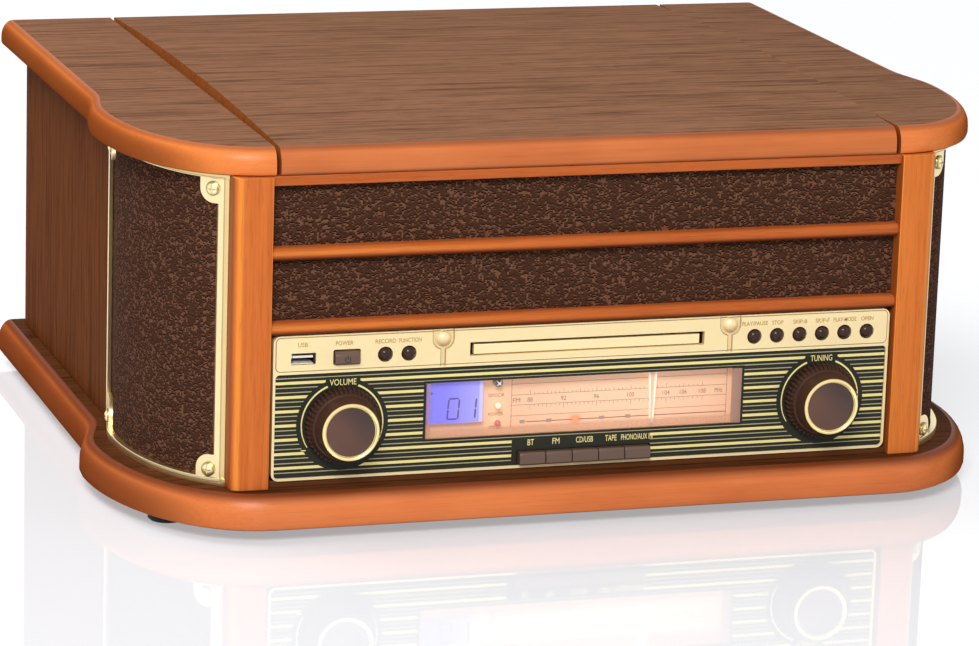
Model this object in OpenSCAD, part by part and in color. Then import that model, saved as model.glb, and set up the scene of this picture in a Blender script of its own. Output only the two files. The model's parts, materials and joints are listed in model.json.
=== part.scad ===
// Stereo music centre: a wooden cabinet with a record deck under a hinged lid, a compact
// disc tray, a dial radio, a side-loading cassette deck and two curved corner speakers.
// Millimetres, +Z up. X = 0 is the middle, Z = 0 the table, -Y the front.

/* [Cabinet] */
// Width over the two side panels
body_w = 460; // [440:1:560]
// Depth from the front of the fascia to the back edge of the side panels
body_d = 376; // [370:1:470]
// Height from the ledge of the base to the underside of the caps
body_h = 170; // [140:1:210]
// Thickness of a side panel
panel_t = 12; // [9:0.5:15]
// Thickness of the back panel
back_t = 6; // [3:0.5:8]
// Width of a front pillar
pillar_w = 21; // [16:0.5:26]
// Radius of a pillar's outer front edge
pillar_r = 7; // [4:0.5:9]

/* [Base and caps] */
// Height of a rubber foot
foot_h = 7; // [4:0.5:12]
// Radius of a rubber foot
foot_r = 11; // [8:0.5:14]
// Thickness of the base board
base_t = 19; // [15:0.5:24]
// How far the base's rounded edge runs out below its ledge
base_nose = 8; // [5:0.5:10]
// Thickness of the lid's edge and of the caps beside it
cap_t = 15; // [12:0.5:20]
// How far the rounded edge of the lid and caps runs out below its top
cap_nose = 7; // [4:0.5:9]
// How far the base, lid and caps pass the back edge of the side panels
overhang = 12; // [8:0.5:16]

/* [Lid] */
// Width of the lid
lid_w = 348; // [340:1:352]
// Rise of the lid's arched top at mid-depth
lid_crown = 4.5; // [3:0.5:10]
// Opening angle of the lid, in degrees
lid_open = 62; // [45:1:65]
// Length of the lid stay between its two pins
stay_len = 90; // [80:1:95]

/* [Fascia] */
// Width of the fascia
fascia_w = 352; // [346:1:360]
// Height of the fascia
fascia_h = 79.5; // [78:0.5:84]
// Height of the plain band above the dial panel
band_h = 20.5; // [19:0.5:22]
// Distance of each knob from the middle
knob_x = 137; // [134:0.5:140]
// How far the knobs stand out of the dial panel
knob_out = 17; // [12:0.5:20]
// Width of the dial window
window_w = 181; // [150:1:186]
// Height of the dial window
window_h = 31.2; // [26:0.2:32]
// Radius of a knob's spindle
spindle_r = 3; // [2.5:0.1:4]
// Radius of a round push button
button_r = 3.6; // [3:0.1:4]
// Width of a source key
key_w = 14.6; // [12:0.1:14.8]

/* [Disc player] */
// Width of the disc tray
tray_w = 131; // [128:0.5:134]
// Travel of the disc tray
tray_travel = 130; // [100:1:132]

/* [Record deck] */
// Radius of the platter
platter_r = 100; // [90:1:110]
// Radius of the record spindle
record_pin_r = 3.55; // [3.4:0.05:3.6]
// Depth of the deck below the underside of the lid
deck_drop = 32; // [30:0.5:38]
// Distance from the tonearm's pivot to the stylus
arm_len = 205; // [195:1:210]

/* [Cassette deck] */
// Width of the cassette slot
slot_w = 106; // [104:0.5:112]
// Height of the cassette slot
slot_h = 14; // [13.5:0.5:16]

/* [Speakers] */
// Radius of the speaker's hole in its baffle
driver_r = 46; // [38:0.5:48]
// Thickness of a baffle
baffle_t = 9; // [6:0.5:12]

/* [Fits] */
// Radial clearance of a turning shaft in its bore
run = 0.05; // [0.02:0.01:0.1]
// Gap between a sliding piece and its guide
slide = 0.3; // [0.2:0.05:0.5]

/* [Hidden] */
$fn = 48;

// Heights and depths that the pieces share. A depth is counted back from the fascia's front.
z_ledge = foot_h + base_t;
z_cap = z_ledge + body_h;
z_top = z_cap + cap_t;
base_front = -9;
front_reach = max(base_nose - base_front, knob_out);
face_y = (front_reach - body_d - overhang) / 2;
function fy(depth) = face_y + depth;
side_x = body_w / 2;
rear = body_d + overhang;
pillar_in = fascia_w / 2 + 2;
pillar_out = pillar_in + pillar_w;
pillar_front = -3;
pillar_back = 22;
cap_in = lid_w / 2 + 2.5;
side_start = 152;

// ---- Outlines of the rounded front corners ----
corner_steps = 16;
sweep_steps = 6;
// Right-hand edge from the straight front to the straight side: a quarter superellipse of
// fullness n, then a half cosine that draws in to the side.
function corner_edge(from_x, front, bulge_x, bulge_y, end_x, end_y, n) = concat(
    [for (i = [0:corner_steps]) let (t = 90 * i / corner_steps)
        [from_x + (bulge_x - from_x) * pow(sin(t), 2 / n),
         fy(bulge_y - (bulge_y - front) * pow(cos(t), 2 / n))]],
    [for (i = [1:sweep_steps]) let (s = i / sweep_steps)
        [end_x + (bulge_x - end_x) * (1 + cos(180 * s)) / 2,
         fy(bulge_y + (end_y - bulge_y) * s)]]);
function outward(p, i) =
    let (t = p[min(i + 1, len(p) - 1)] - p[max(i - 1, 0)]) [t[1], -t[0]] / norm(t);
function grown(p, d) = [for (i = [0:len(p) - 1]) p[i] + d * (
    i == 0 ? [0, -1] : i == len(p) - 1 ? [1, 0] : outward(p, i))];
function backwards(p) = [for (i = [len(p) - 1:-1:0]) p[i]];
function mirrored(p) = [for (i = [len(p) - 1:-1:0]) [-p[i][0], p[i][1]]];

base_edge = corner_edge(cap_in, base_front, side_x + 17.5, 103, side_x + 6, 158, 2);
cap_edge = corner_edge(cap_in, 5.6, side_x + 12.3, 115, side_x + 6, 160, 2.15);
grille_edge = corner_edge(cap_in, 3, side_x + 8, 108, side_x + 1, side_start, 2.1);

// Half of a board's outline, from the front over the corner to the back
function half_board(edge, d) = let (g = grown(edge, d))
    concat(g, [[g[len(g) - 1][0], fy(rear)]]);
// A board's moulded edge, as [reach, height] from the bottom up
function nose_levels(low, high, reach, round_h) = concat(
    [[reach - 2, low], [reach - 0.6, low + 0.8], [reach, low + 2.4]],
    [for (i = [0:6]) [reach * cos(15 * i), high - round_h * (1 - sin(15 * i))]]);

// Solid between rings of equal point counts, the first ring lowest
module loft(rings) {
    n = len(rings[0][0]);
    points = [for (r = rings) for (p = r[0]) [p[0], p[1], r[1]]];
    top = (len(rings) - 1) * n;
    polyhedron(points, concat(
        [[for (i = [0:n - 1]) i]], [[for (i = [n - 1:-1:0]) top + i]],
        [for (k = [0:len(rings) - 2]) for (i = [0:n - 1]) let (j = (i + 1) % n)
            [k * n + i, (k + 1) * n + i, (k + 1) * n + j]],
        [for (k = [0:len(rings) - 2]) for (i = [0:n - 1]) let (j = (i + 1) % n)
            [k * n + i, (k + 1) * n + j, k * n + j]]), convexity = 6);
}

// ---- Small helpers ----
// A box from its lowest and highest corners, y given as depths
module block(x0, x1, d0, d1, z0, z1)
    translate([x0, fy(d0), z0]) cube([x1 - x0, d1 - d0, z1 - z0]);
// A flat drawing in X and Z, made solid between two depths
module panel(d0, d1) translate([0, fy(d1), 0]) rotate([90, 0, 0]) linear_extrude(d1 - d0) children();
// A flat drawing in depth and Z, made solid between two X
module slice(x0, x1)
    translate([x0, face_y, 0]) rotate([90, 0, 90]) linear_extrude(x1 - x0) children();
// A cylinder along Y between two depths
module rod_y(r, d0, d1) translate([0, fy(d0), 0]) rotate([-90, 0, 0]) cylinder(h = d1 - d0, r = r);
// A cylinder along X
module rod_x(r, x0, x1) translate([x0, 0, 0]) rotate([0, 90, 0]) cylinder(h = x1 - x0, r = r);
module rounded(w, h, r) {
    square([w - 2 * r, h], center = true);
    square([w, h - 2 * r], center = true);
    for (x = [-1, 1], z = [-1, 1])
        translate([x * (w / 2 - r), z * (h / 2 - r)]) circle(r);
}
module pair() {
    children();
    mirror([1, 0, 0]) children();
}

// ---- Cabinet ----
module base_board() color("chocolate") {
    levels = nose_levels(foot_h, z_ledge, base_nose, 13);
    loft([for (l = levels) [concat(half_board(base_edge, l[0]),
        mirrored(half_board(base_edge, l[0]))), l[1]]]);
}

foot_x = side_x - 8;
foot_front = 42;
foot_back = rear - 33;
module feet() color("black")
    for (x = [-foot_x, foot_x], d = [foot_front, foot_back])
        translate([x, fy(d), 0]) rotate_extrude() difference() {
            polygon([[0, 0], [foot_r - 1.5, 0], [foot_r - 0.4, 1], [foot_r, foot_h], [0, foot_h]]);
            polygon([[-1, -1], [4.5, -1], [4.5, 2], [2, 2], [2, 4], [-1, 4]]);
        }

module side_board() block(side_x - panel_t, side_x, side_start, body_d, z_ledge, z_cap);
module side_panel_left() color("sienna") mirror([1, 0, 0]) side_board();
module side_panel_right() color("sienna") difference() {
    side_board();
    translate([side_x - panel_t - 1, fy(tape_y), tape_z]) rotate([90, 0, 90])
        linear_extrude(panel_t + 2) rounded(bezel_w - 8, bezel_h - 8, 0.5);
}

back_top = z_cap - 3;
back_front = body_d - 2 - back_t;
vent_rows = 7;
module back_panel() color("saddlebrown") difference() {
    block(-side_x + panel_t, side_x - panel_t, back_front, back_front + back_t, z_ledge, back_top);
    for (x = [-1, 1], i = [0:vent_rows - 1])
        panel_hole(x * 115, z_ledge + 62 + i * 8, 70, 3.2);
    panel_hole(socket_x, socket_z, socket_w - 6, socket_h - 6);
    panel_hole(inlet_x, socket_z, inlet_w - 6, inlet_h - 6);
    for (p = back_screws) translate([p[0], 0, p[1]]) rod_y(1.7, back_front - 1, body_d);
}
module panel_hole(x, z, w, h) translate([x, 0, z]) panel(back_front - 1, body_d) rounded(w, h, 1.5);

module pillars() color("peru") pair() translate([0, 0, z_ledge]) linear_extrude(body_h) union() {
    polygon([[pillar_in, fy(pillar_front)], [pillar_out - pillar_r, fy(pillar_front)],
             [pillar_out - pillar_r, fy(pillar_front + pillar_r)],
             [pillar_out, fy(pillar_front + pillar_r)], [pillar_out, fy(pillar_back)],
             [pillar_in, fy(pillar_back)]]);
    intersection() {
        translate([pillar_out - pillar_r, fy(pillar_front + pillar_r)]) circle(pillar_r);
        translate([pillar_out - pillar_r, fy(pillar_front)]) square(pillar_r);
    }
}

// The strips between the pillars, as heights above the ledge
fascia_z = z_ledge + 3.6;
fascia_top = fascia_z + fascia_h;
rail_h = 7.2;
top_rail_z = z_cap - 5.4;
low_rail_z = fascia_top + 0.4;
cloth_h = (top_rail_z - low_rail_z - 2 * rail_h) / 2;
high_rail_z = low_rail_z + rail_h + cloth_h;
cloth_front = 5.5;
cloth_back = 11;
module half_round(z) {
    r = rail_h / 2;
    translate([0, 0, z + r]) {
        translate([0, fy(r - 1.6), 0]) rod_x(r, -pillar_in, pillar_in);
        block(-pillar_in, pillar_in, r - 1.6, cloth_back + 1, -r, r);
    }
}
module front_rails() color("peru") {
    half_round(low_rail_z);
    half_round(high_rail_z);
    block(-pillar_in, pillar_in, 0, 18, top_rail_z, z_cap);
    block(-pillar_in, pillar_in, 1, 14, z_ledge, fascia_z);
}
module cloth_panels() color("dimgray") for (z = [low_rail_z, high_rail_z])
    block(-pillar_in, pillar_in, cloth_front, cloth_back, z + rail_h, z + rail_h + cloth_h);

module top_caps() color("chocolate") pair() {
    levels = nose_levels(z_cap, z_top, cap_nose, 9.5);
    loft([for (l = levels) [concat(half_board(cap_edge, l[0]), [[cap_in, fy(rear)]]), l[1]]]);
}

// ---- Corner speakers ----
frame_t = 2.5;
cloth_t = 2;
rim_side = 2.2;
rim_top = 3;
rim_low = 4.2;
bar_w = 5;
lug_r = 8;
grille_low = z_ledge;
grille_high = z_cap;
// Upright wall that follows the corner, between two distances from its outer face
module curved_wall(outer, inner, z0, z1) intersection() {
    translate([0, 0, z0]) linear_extrude(z1 - z0)
        polygon(concat(grown(grille_edge, outer), backwards(grown(grille_edge, inner))));
    block(pillar_out, side_x + 20, 0, side_start, z0, z1);
}
front_lug = 5;
back_lug = corner_steps + 3;
module on_grille(i) {
    p = grille_edge[i];
    n = outward(grille_edge, i);
    translate([p[0], p[1], 0]) rotate([0, 0, atan2(n[1], n[0])]) children();
}
lug_inset = 8.5;
module at_lugs() for (i = [front_lug, back_lug], z = [grille_low + lug_inset, grille_high - lug_inset])
    on_grille(i) translate([0, 0, z]) children();
// The corner between a lug's round and the bar and rim that it grows from
module lug_corners() for (i = [front_lug, back_lug], up = [-1, 1])
    on_grille(i) translate([-12, 0, up > 0 ? grille_high - lug_inset : grille_low + lug_inset]) {
        translate([0, i == front_lug ? -20 : 0, -lug_r]) cube([24, 20, 2 * lug_r]);
        translate([0, -lug_r, up > 0 ? 0 : -20]) cube([24, 2 * lug_r, 20]);
    }
module speaker_frames() color("goldenrod") pair() difference() {
    union() {
        curved_wall(1, -frame_t, grille_low, grille_low + rim_low);
        curved_wall(0.6, -frame_t, grille_high - rim_top, grille_high);
        intersection() {
            curved_wall(0, -frame_t, grille_low, grille_high);
            union() {
                block(pillar_out, pillar_out + bar_w, 0, 40, grille_low, grille_high);
                block(side_x - 10, side_x + 20, side_start - rim_side, side_start,
                    grille_low, grille_high);
                at_lugs() rod_x(lug_r, -12, 12);
                lug_corners();
            }
        }
    }
    at_lugs() rod_x(grille_screw_r + 0.2, -12, 12);
}
module speaker_cloths() color("dimgray") pair()
    curved_wall(-frame_t, -frame_t - cloth_t, grille_low, grille_high);

// The flat baffle stands behind the cloth, from the pillar to the side panel
baffle_a = [pillar_out - 3, fy(pillar_back)];
baffle_b = [side_x - 9, fy(side_start)];
baffle_way = baffle_b - baffle_a;
baffle_turn = atan2(baffle_way[0], baffle_way[1]);
baffle_x = baffle_t / cos(baffle_turn);
driver_z = z_ledge + body_h / 2;
module at_driver() {
    m = (baffle_a + baffle_b) / 2;
    translate([m[0], m[1], driver_z]) rotate([0, 0, -baffle_turn]) rotate([0, 90, 0]) children();
}
module speaker_baffles() color("tan") pair() difference() {
    translate([0, 0, z_ledge]) linear_extrude(body_h)
        polygon([baffle_a, baffle_b, baffle_b - [baffle_x, 0], baffle_a - [baffle_x, 0]]);
    at_driver() translate([0, 0, -baffle_t - 10]) cylinder(h = baffle_t + 20, r = driver_r);
}
flange_r = driver_r + 6;
module speaker_drivers() color("dimgray") pair() at_driver() {
    rotate_extrude() union() {
        polygon([[driver_r - 2, 0], [flange_r, 0], [flange_r, 2], [driver_r - 2, 2]]);
        polygon([[driver_r - 2, 2], [driver_r - 0.3, 0], [driver_r - 2, -8], [20, -24], [20, -22],
                 [driver_r - 4, -7]]);
        polygon([[0, -25], [20, -25], [20, -22], [14, -22], [14, -12], [12, -12], [12, -22], [0, -22]]);
        polygon([[0, -25], [driver_r - 16, -25], [driver_r - 16, -37], [0, -37]]);
    }
    rotate_extrude() polygon([[11.5, -9], [12.2, -10], [driver_r - 9, 1], [driver_r - 6, 3.4],
        [driver_r - 3, 2.05], [driver_r + 1, 2.05], [driver_r + 1, 2.9], [driver_r - 2.8, 2.9],
        [driver_r - 6, 4.4], [driver_r - 9.8, 1.9], [11.5, -8]]);
}

grille_screw_r = 1.6;
head_r = 3.9;
back_screws = [for (x = [-1, 0, 1], z = [z_ledge + 8, back_top - 8])
    [x * (side_x - panel_t - 10), z]];
module screw_head(r, h) rotate([0, 90, 0]) difference() {
    rotate_extrude() intersection() {
        translate([0, h - 1.6 * r]) circle(1.6 * r);
        square([r, h]);
    }
    for (a = [0, 90]) rotate([0, 0, a]) translate([-r * 0.6, -0.4, h - 1])
        cube([r * 1.2, 0.8, 2]);
}
module screws() color("gold") {
    pair() at_lugs() {
        screw_head(head_r, 2.2);
        rod_x(grille_screw_r, -frame_t + 0.2, 0.3);
    }
    for (p = back_screws) translate([p[0], fy(back_front + back_t), p[1]]) rotate([0, 0, 90]) {
        screw_head(3.4, 1.8);
        rod_x(1.6, -back_t + 0.2, 0.3);
    }
}

// ---- Fascia ----
fascia_mid = fascia_z + fascia_h / 2;
rim_w = 1.4;
rim_d = 1.1;
skin_d = 3;
wall_d = 12;
wall_w = 1.2;
band_z = fascia_top - band_h;
dial_low = fascia_z + rim_w;
dial_high = band_z - 0.5;
button_z = band_z + 8.4;
power_z = button_z - 0.5;
knob_z = fascia_z + 29.7;
window_z = fascia_z + 34.15;
slot_z = band_z + 8.5;
slot_half = tray_w / 2 + 1.5;
tray_slot_h = 7.5;
dome_x = tray_w / 2 + 16.5;
dome_z = fascia_top - 5;
dome_r = 4.5;
groove_r = 5.9;
groove_w = 2.6;
groove_d = 0.5;
power_x = -135.6;
power_w = 13.6;
power_h = 7;
power_gap = 0.75;
usb_x = -159.5;
usb_w = 13.1;
usb_h = 5.8;
button_pitch = 13.25;
button_gap = 0.6;
record_x = -114.3;
function_x = -101.2;
disc_x = 96.2;
round_buttons = concat([record_x, function_x], [for (i = [0:5]) disc_x + i * button_pitch]);
key_pitch = key_w + 0.5;
key_slot_low = dial_low + 0.3;
key_slot_h = 7.8;
board_d = 10;
board_t = 1.6;
board_in = window_w / 2 + 5;
board_out = fascia_w / 2 - 4;
post_r = 2.6;
band_posts = [[-board_out + 3, fascia_top - 5.5], [board_out - 3, fascia_top - 5.5]];
dial_posts = [[-board_out + 4, fascia_z + 8], [board_out - 4, fascia_z + 8],
              [-board_in - 5, fascia_z + 8], [board_in + 5, fascia_z + 8]];
module fascia_face(inset, r) translate([0, fascia_mid])
    rounded(fascia_w - 2 * inset, fascia_h - 2 * inset, r);
module dial_opening(grow, r) translate([0, (dial_low + dial_high) / 2])
    rounded(fascia_w - 2 * rim_w + 2 * grow, dial_high - dial_low + 2 * grow, r);
// Grooves that part the band's plates: round under each dome, then straight down
module band_grooves() for (x = [-dome_x, dome_x]) translate([x, 0]) {
    translate([0, dome_z]) circle(groove_r);
    translate([-groove_r, dome_z]) square([2 * groove_r, fascia_top - dome_z + 5]);
    translate([-groove_w / 2, band_z + 0.3]) square([groove_w, dome_z - band_z - 0.3]);
}
module band_plates() difference() {
    translate([0, (band_z + fascia_top) / 2 + 0.2]) rounded(fascia_w - 2 * rim_w, band_h - 2, 2.5);
    band_grooves();
}
module fascia() color("khaki") difference() {
    union() {
        difference() {
            union() {
                panel(0, wall_d) difference() {
                    fascia_face(0, 4);
                    fascia_face(wall_w, 4 - wall_w);
                }
                panel(0, rim_d) difference() {
                    fascia_face(0, 4);
                    dial_opening(0, 2.2);
                }
            }
            panel(-1, groove_d) band_grooves();
        }
        panel(1, skin_d) intersection() {
            fascia_face(1, 3);
            translate([-fascia_w / 2, band_z]) square([fascia_w, band_h]);
        }
        panel(-0.3, 1.1) band_plates();
        for (x = [-dome_x, dome_x]) intersection() {
            translate([x, fy(dome_r / 2), dome_z]) sphere(dome_r * 1.08);
            block(x - 9, x + 9, -4, 2, dome_z - 9, fascia_top);
        }
        for (p = band_posts) translate([p[0], 0, p[1]]) rod_y(post_r, skin_d - 0.5, board_d);
    }
    panel(-1, skin_d + 1) {
        for (x = round_buttons) translate([x, button_z]) circle(button_r + button_gap);
        translate([power_x, power_z]) rounded(power_w + 2 * power_gap, power_h + 2 * power_gap, 1);
        translate([usb_x, power_z]) rounded(usb_w + 0.6, usb_h + 0.6, 0.5);
        translate([0, slot_z + 0.4]) square([2 * slot_half, tray_slot_h], center = true);
    }
}

plate_in = wall_w + 0.1;
module dial_plate() color("darkslategray") {
    panel(rim_d, skin_d) difference() {
        translate([0, (fascia_z + plate_in + band_z - 0.2) / 2])
            rounded(fascia_w - 2 * plate_in, band_z - 0.2 - fascia_z - plate_in, 4 - plate_in);
        translate([0, window_z]) square([window_w, window_h], center = true);
        for (x = [-knob_x, knob_x]) translate([x, knob_z]) circle(spindle_r + 0.5);
        translate([0, key_slot_low + key_slot_h / 2])
            square([5 * key_pitch + 1.2, key_slot_h], center = true);
    }
    for (p = dial_posts) translate([p[0], 0, p[1]]) rod_y(post_r, skin_d - 0.5, board_d);
}

module dial_window() color("lightyellow", 0.5) translate([0, 0, window_z]) {
    panel(0.2, 2.4) square([window_w - 0.4, window_h - 0.4], center = true);
    panel(-0.3, 0.3) square([window_w - 3.4, window_h - 3.4], center = true);
}

// Lamp box behind the window: a tray open to the front, with a slot for the pointer
lamp_wall = 1.5;
lamp_w = window_w + 6;
lamp_h = window_h + 7;
lamp_back = 10.4;
lamp_top = window_z + lamp_h / 2;
pointer_x = 40;
scale_left = -40;
scale_right = 83;
pointer_w = 5.2;
pointer_tip = 2;
pointer_low = scale_left - pointer_x;
pointer_high = scale_right - pointer_x;
module dial_scale() color("peachpuff") difference() {
    translate([0, 0, window_z]) panel(skin_d, lamp_back)
        square([lamp_w, lamp_h], center = true);
    translate([0, 0, window_z]) panel(skin_d - 1, lamp_back - lamp_wall)
        square([lamp_w - 2 * lamp_wall, lamp_h - 2 * lamp_wall], center = true);
    block(scale_left - 4, scale_right + 4, 4, 7, lamp_top - 3, lamp_top + 1);
}
lcd_w = 32;
lcd_x = -window_w / 2 + 1.3 + lcd_w / 2;
lamp_x = -48.4;
module lcd_display() color("mediumpurple") {
    translate([0, 0, window_z]) block(lcd_x - lcd_w / 2, lcd_x + lcd_w / 2, 5, lamp_back - lamp_wall,
        window_h / 2 - 24, window_h / 2 - 0.2);
    for (z = [12.7, -0.1, -9.7]) translate([lamp_x, 0, window_z + z]) {
        rod_y(1.7, 5, lamp_back - lamp_wall);
        translate([0, fy(5), 0]) sphere(1.7);
    }
}
// Clear blade that hangs from a shoe on the lamp box
module dial_pointer() color("ivory") {
    panel(4.6, 6.2) translate([pointer_x, 0]) polygon([
        [-pointer_tip / 2, window_z - window_h / 2 + 1.4], [0, window_z - window_h / 2 + 0.6],
        [pointer_tip / 2, window_z - window_h / 2 + 1.4], [pointer_w / 2, lamp_top + 0.6],
        [-pointer_w / 2, lamp_top + 0.6]]);
    block(pointer_x - 7, pointer_x + 7, skin_d + 0.4, lamp_back, lamp_top + 0.3, lamp_top + 2.6);
}

// ---- Controls ----
module at_knob(side) translate([side * knob_x, fy(rim_d), knob_z]) rotate([90, 0, 0]) children();
knurls = 48;
skirt_r = 21;
module knob() {
    tip = knob_out + rim_d;
    difference() {
        union() {
            translate([0, 0, 0.6]) linear_extrude(4.4)
                polygon([for (i = [0:2 * knurls - 1]) let (a = 180 * i / knurls)
                    (skirt_r - (i % 2) * 0.9) * [cos(a), sin(a)]]);
            rotate_extrude() polygon([[0, 0.6], [skirt_r - 1.2, 0.6], [skirt_r - 1.2, 5.6],
                [18.4, 7.6], [18.4, 8.1], [17.4, 8.5], [16.1, tip - 1.6], [15.9, tip - 0.8],
                [15.5, tip - 0.2], [14.7, tip], [14.1, tip - 0.3], [13.7, tip - 1], [10, tip - 1.5],
                [5, tip - 1.7], [0, tip - 1.7]]);
        }
        translate([0, 0, -1]) cylinder(h = 5, r = 8);
    }
    translate([0, 0, -9]) cylinder(h = 14, r = spindle_r);
}
module volume_knob() color("saddlebrown") at_knob(-1) knob();
module tuning_knob() color("saddlebrown") at_knob(1) knob();

press = 1.2;
module round_button(x) color("saddlebrown") translate([x, fy(skin_d), button_z]) rotate([90, 0, 0])
    rotate_extrude() union() {
        translate([0, -press]) square([button_r + 1.4, press]);
        square([button_r, skin_d + 0.3]);
        translate([0, -2.8]) square([1.3, 2.8]);
        intersection() {
            translate([0, skin_d + 2.6 - button_r * 1.15]) circle(button_r * 1.15);
            translate([0, skin_d]) square([button_r, 3]);
        }
    }
module record_button() round_button(record_x);
module function_button() round_button(function_x);
module play_button() round_button(disc_x);
module stop_button() round_button(disc_x + button_pitch);
module skip_back_button() round_button(disc_x + 2 * button_pitch);
module skip_forward_button() round_button(disc_x + 3 * button_pitch);
module play_mode_button() round_button(disc_x + 4 * button_pitch);
module open_button() round_button(disc_x + 5 * button_pitch);
power_press = 1.8;
power_out = 2.6;
// Its face slopes back at the top
module power_button() color("saddlebrown") translate([power_x, 0, power_z]) {
    slice(-power_w / 2, power_w / 2) polygon([[-power_out + 0.4, -power_h / 2],
        [-power_out, 0.5 - power_h / 2], [0.2 - power_out, power_h / 2 - 2.2], [-0.4, power_h / 2],
        [skin_d + 1, power_h / 2], [skin_d + 1, -power_h / 2]]);
    panel(skin_d, skin_d + 1.2) rounded(power_w + 3.4, power_h + 3.4, 0.8);
}

key_out = 3.2;
key_press = 3;
key_low = key_slot_low + slide;
key_top = key_slot_low + key_slot_h - slide - 0.2;
stem_w = 5;
stem_h = 3;
stem_z = (key_low + key_top) / 2 - stem_h / 2;
switch_d = key_out + skin_d + key_press + 0.3;
module source_key(i) color("saddlebrown") {
    x = (i - 2) * key_pitch;
    slice(x - key_w / 2, x + key_w / 2) polygon([[-key_out + 0.5, key_low], [-key_out, key_low + 0.8],
        [-key_out + 0.4, key_top - 1.2], [-key_out + 1.4, key_top], [key_out + skin_d, key_top],
        [key_out + skin_d, key_low]]);
    block(x - stem_w / 2, x + stem_w / 2, key_out + skin_d - 0.5, switch_d + 6, stem_z, stem_z + stem_h);
}
module bt_key() source_key(0);
module fm_key() source_key(1);
module cd_key() source_key(2);
module tape_key() source_key(3);
module phono_key() source_key(4);

pot_r = 8.5;
module control_board() color("seagreen") {
    pair_boards();
    difference() {
        block(-2.8 * key_pitch, 2.8 * key_pitch, switch_d, switch_d + 12, fascia_z + 2, key_top + 1.5);
        for (i = [-2:2]) block(i * key_pitch - stem_w / 2 - slide, i * key_pitch + stem_w / 2 + slide,
            switch_d - 1, switch_d + 6 + key_press + 0.5, stem_z - slide, stem_z + stem_h + slide);
    }
    translate([usb_x, 0, power_z]) difference() {
        panel(0.6, board_d + 4) square([usb_w, usb_h], center = true);
        panel(0, board_d + 3) square([usb_w - 0.8, usb_h - 0.8], center = true);
    }
    translate([usb_x, 0, power_z]) block(-5.6, 5.6, 1.5, board_d + 4, 0.3, 1.5);
}
module pair_boards() for (side = [-1, 1]) difference() {
    union() {
        block(min(side * board_in, side * board_out), max(side * board_in, side * board_out),
            board_d, board_d + board_t, fascia_z + 4, fascia_top - 3);
        at_knob(side) translate([0, 0, -board_d + rim_d]) cylinder(h = 5, r = pot_r);
        for (x = round_buttons) if (x * side > 0) {
            block(x - 3, x + 3, board_d - 2.4, board_d + 0.5, button_z - 3, button_z + 3);
            translate([x, 0, button_z]) rod_y(1.3, board_d - 2.8, board_d);
        }
        if (side < 0) block(power_x - 6, power_x + 6, skin_d + power_press + 1.8, board_d + 0.5,
            button_z - 4, button_z + 3);
    }
    at_knob(side) translate([0, 0, -14]) cylinder(h = 14, r = spindle_r + run);
    if (side < 0) translate([usb_x, 0, power_z]) panel(board_d - 1, board_d + 3)
        square([usb_w, usb_h], center = true);
}

// ---- Disc player ----
cd_half_h = 18;
cd_front = 14;
cd_back = 205;
tray_low = slot_z - 2.9;
tray_h = 5.6;
tray_back = tray_travel + 35;
cavity = tray_w / 2 + slide;
chassis_x = cavity + 12;
module cd_mechanism() color("silver") {
    difference() {
        block(-chassis_x, chassis_x, cd_front, cd_back, slot_z - cd_half_h, slot_z + cd_half_h);
        block(-cavity, cavity, cd_front - 1, tray_back + 4, tray_low - slide, tray_low + tray_h + 3);
        block(-cavity + 8, cavity - 8, cd_front + 20, cd_back - 6, slot_z + 7,
            slot_z + cd_half_h - 1.5);
    }
    pair() {
        block(chassis_x, chassis_x + 1.5, cd_front + 4, cd_back - 10, z_ledge, slot_z + 8);
        for (d = [cd_front + 12, cd_back - 34])
            block(chassis_x, chassis_x + 12, d, d + 16, z_ledge, z_ledge + 1.5);
    }
}
disc_r = 60.5;
disc_d = 82;
module cd_tray() color("dimgray") difference() {
    union() {
        block(-tray_w / 2, tray_w / 2, 6, tray_back, tray_low, tray_low + tray_h);
        block(-tray_w / 2 + 1, tray_w / 2 - 1, 1, 7, tray_low + 0.1, tray_low + tray_h - 0.1);
    }
    translate([0, fy(disc_d), tray_low + 3]) cylinder(h = tray_h, r = disc_r);
    translate([0, fy(disc_d), tray_low + 2]) cylinder(h = tray_h, r = 41);
    translate([0, fy(disc_d), tray_low - 1]) cylinder(h = tray_h, r = 17);
    block(-17, 17, disc_d, tray_back - 12, tray_low - 1, tray_low + tray_h + 1);
}

// ---- Cassette deck in the right-hand side ----
tape_y = 265;
tape_z = z_ledge + 74;
bezel_w = slot_w + 34;
bezel_h = slot_h + 26;
bezel_t = 2.5;
mouth_y = tape_y - bezel_w / 2 + 7 + slot_w / 2;
eject_y = tape_y + bezel_w / 2 - 14;
eject_w = 13;
eject_h = 10;
flap_t = 1.6;
flap_x = side_x + 1.1;
flap_z = tape_z + slot_h / 2 - 1.2;
flap_pin = 1;
tape_depth = 70;
module tape_box(x0, x1, y, w, h) translate([x0, fy(y) - w / 2, tape_z - h / 2]) cube([x1 - x0, w, h]);
module tape_mechanism() color("black") difference() {
    union() {
        translate([side_x, fy(tape_y), tape_z]) rotate([90, 0, 90]) linear_extrude(bezel_t)
            rounded(bezel_w, bezel_h, 5);
        tape_box(side_x - tape_depth - 32, side_x + 1, tape_y, bezel_w - 8 - 2 * slide,
            bezel_h - 8 - 2 * slide);
    }
    tape_box(side_x - tape_depth, side_x + 9, mouth_y, slot_w, slot_h);
    translate([flap_x, fy(mouth_y) - slot_w / 2 - 2, flap_z]) rotate([-90, 0, 0])
        cylinder(h = slot_w + 4, r = flap_pin + run);
    tape_box(side_x - 9, side_x + 9, eject_y, eject_w + 2 * slide, eject_h + 2 * slide);
    tape_box(side_x - 9, side_x, eject_y, eject_w + 3, eject_h + 3);
}
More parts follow.
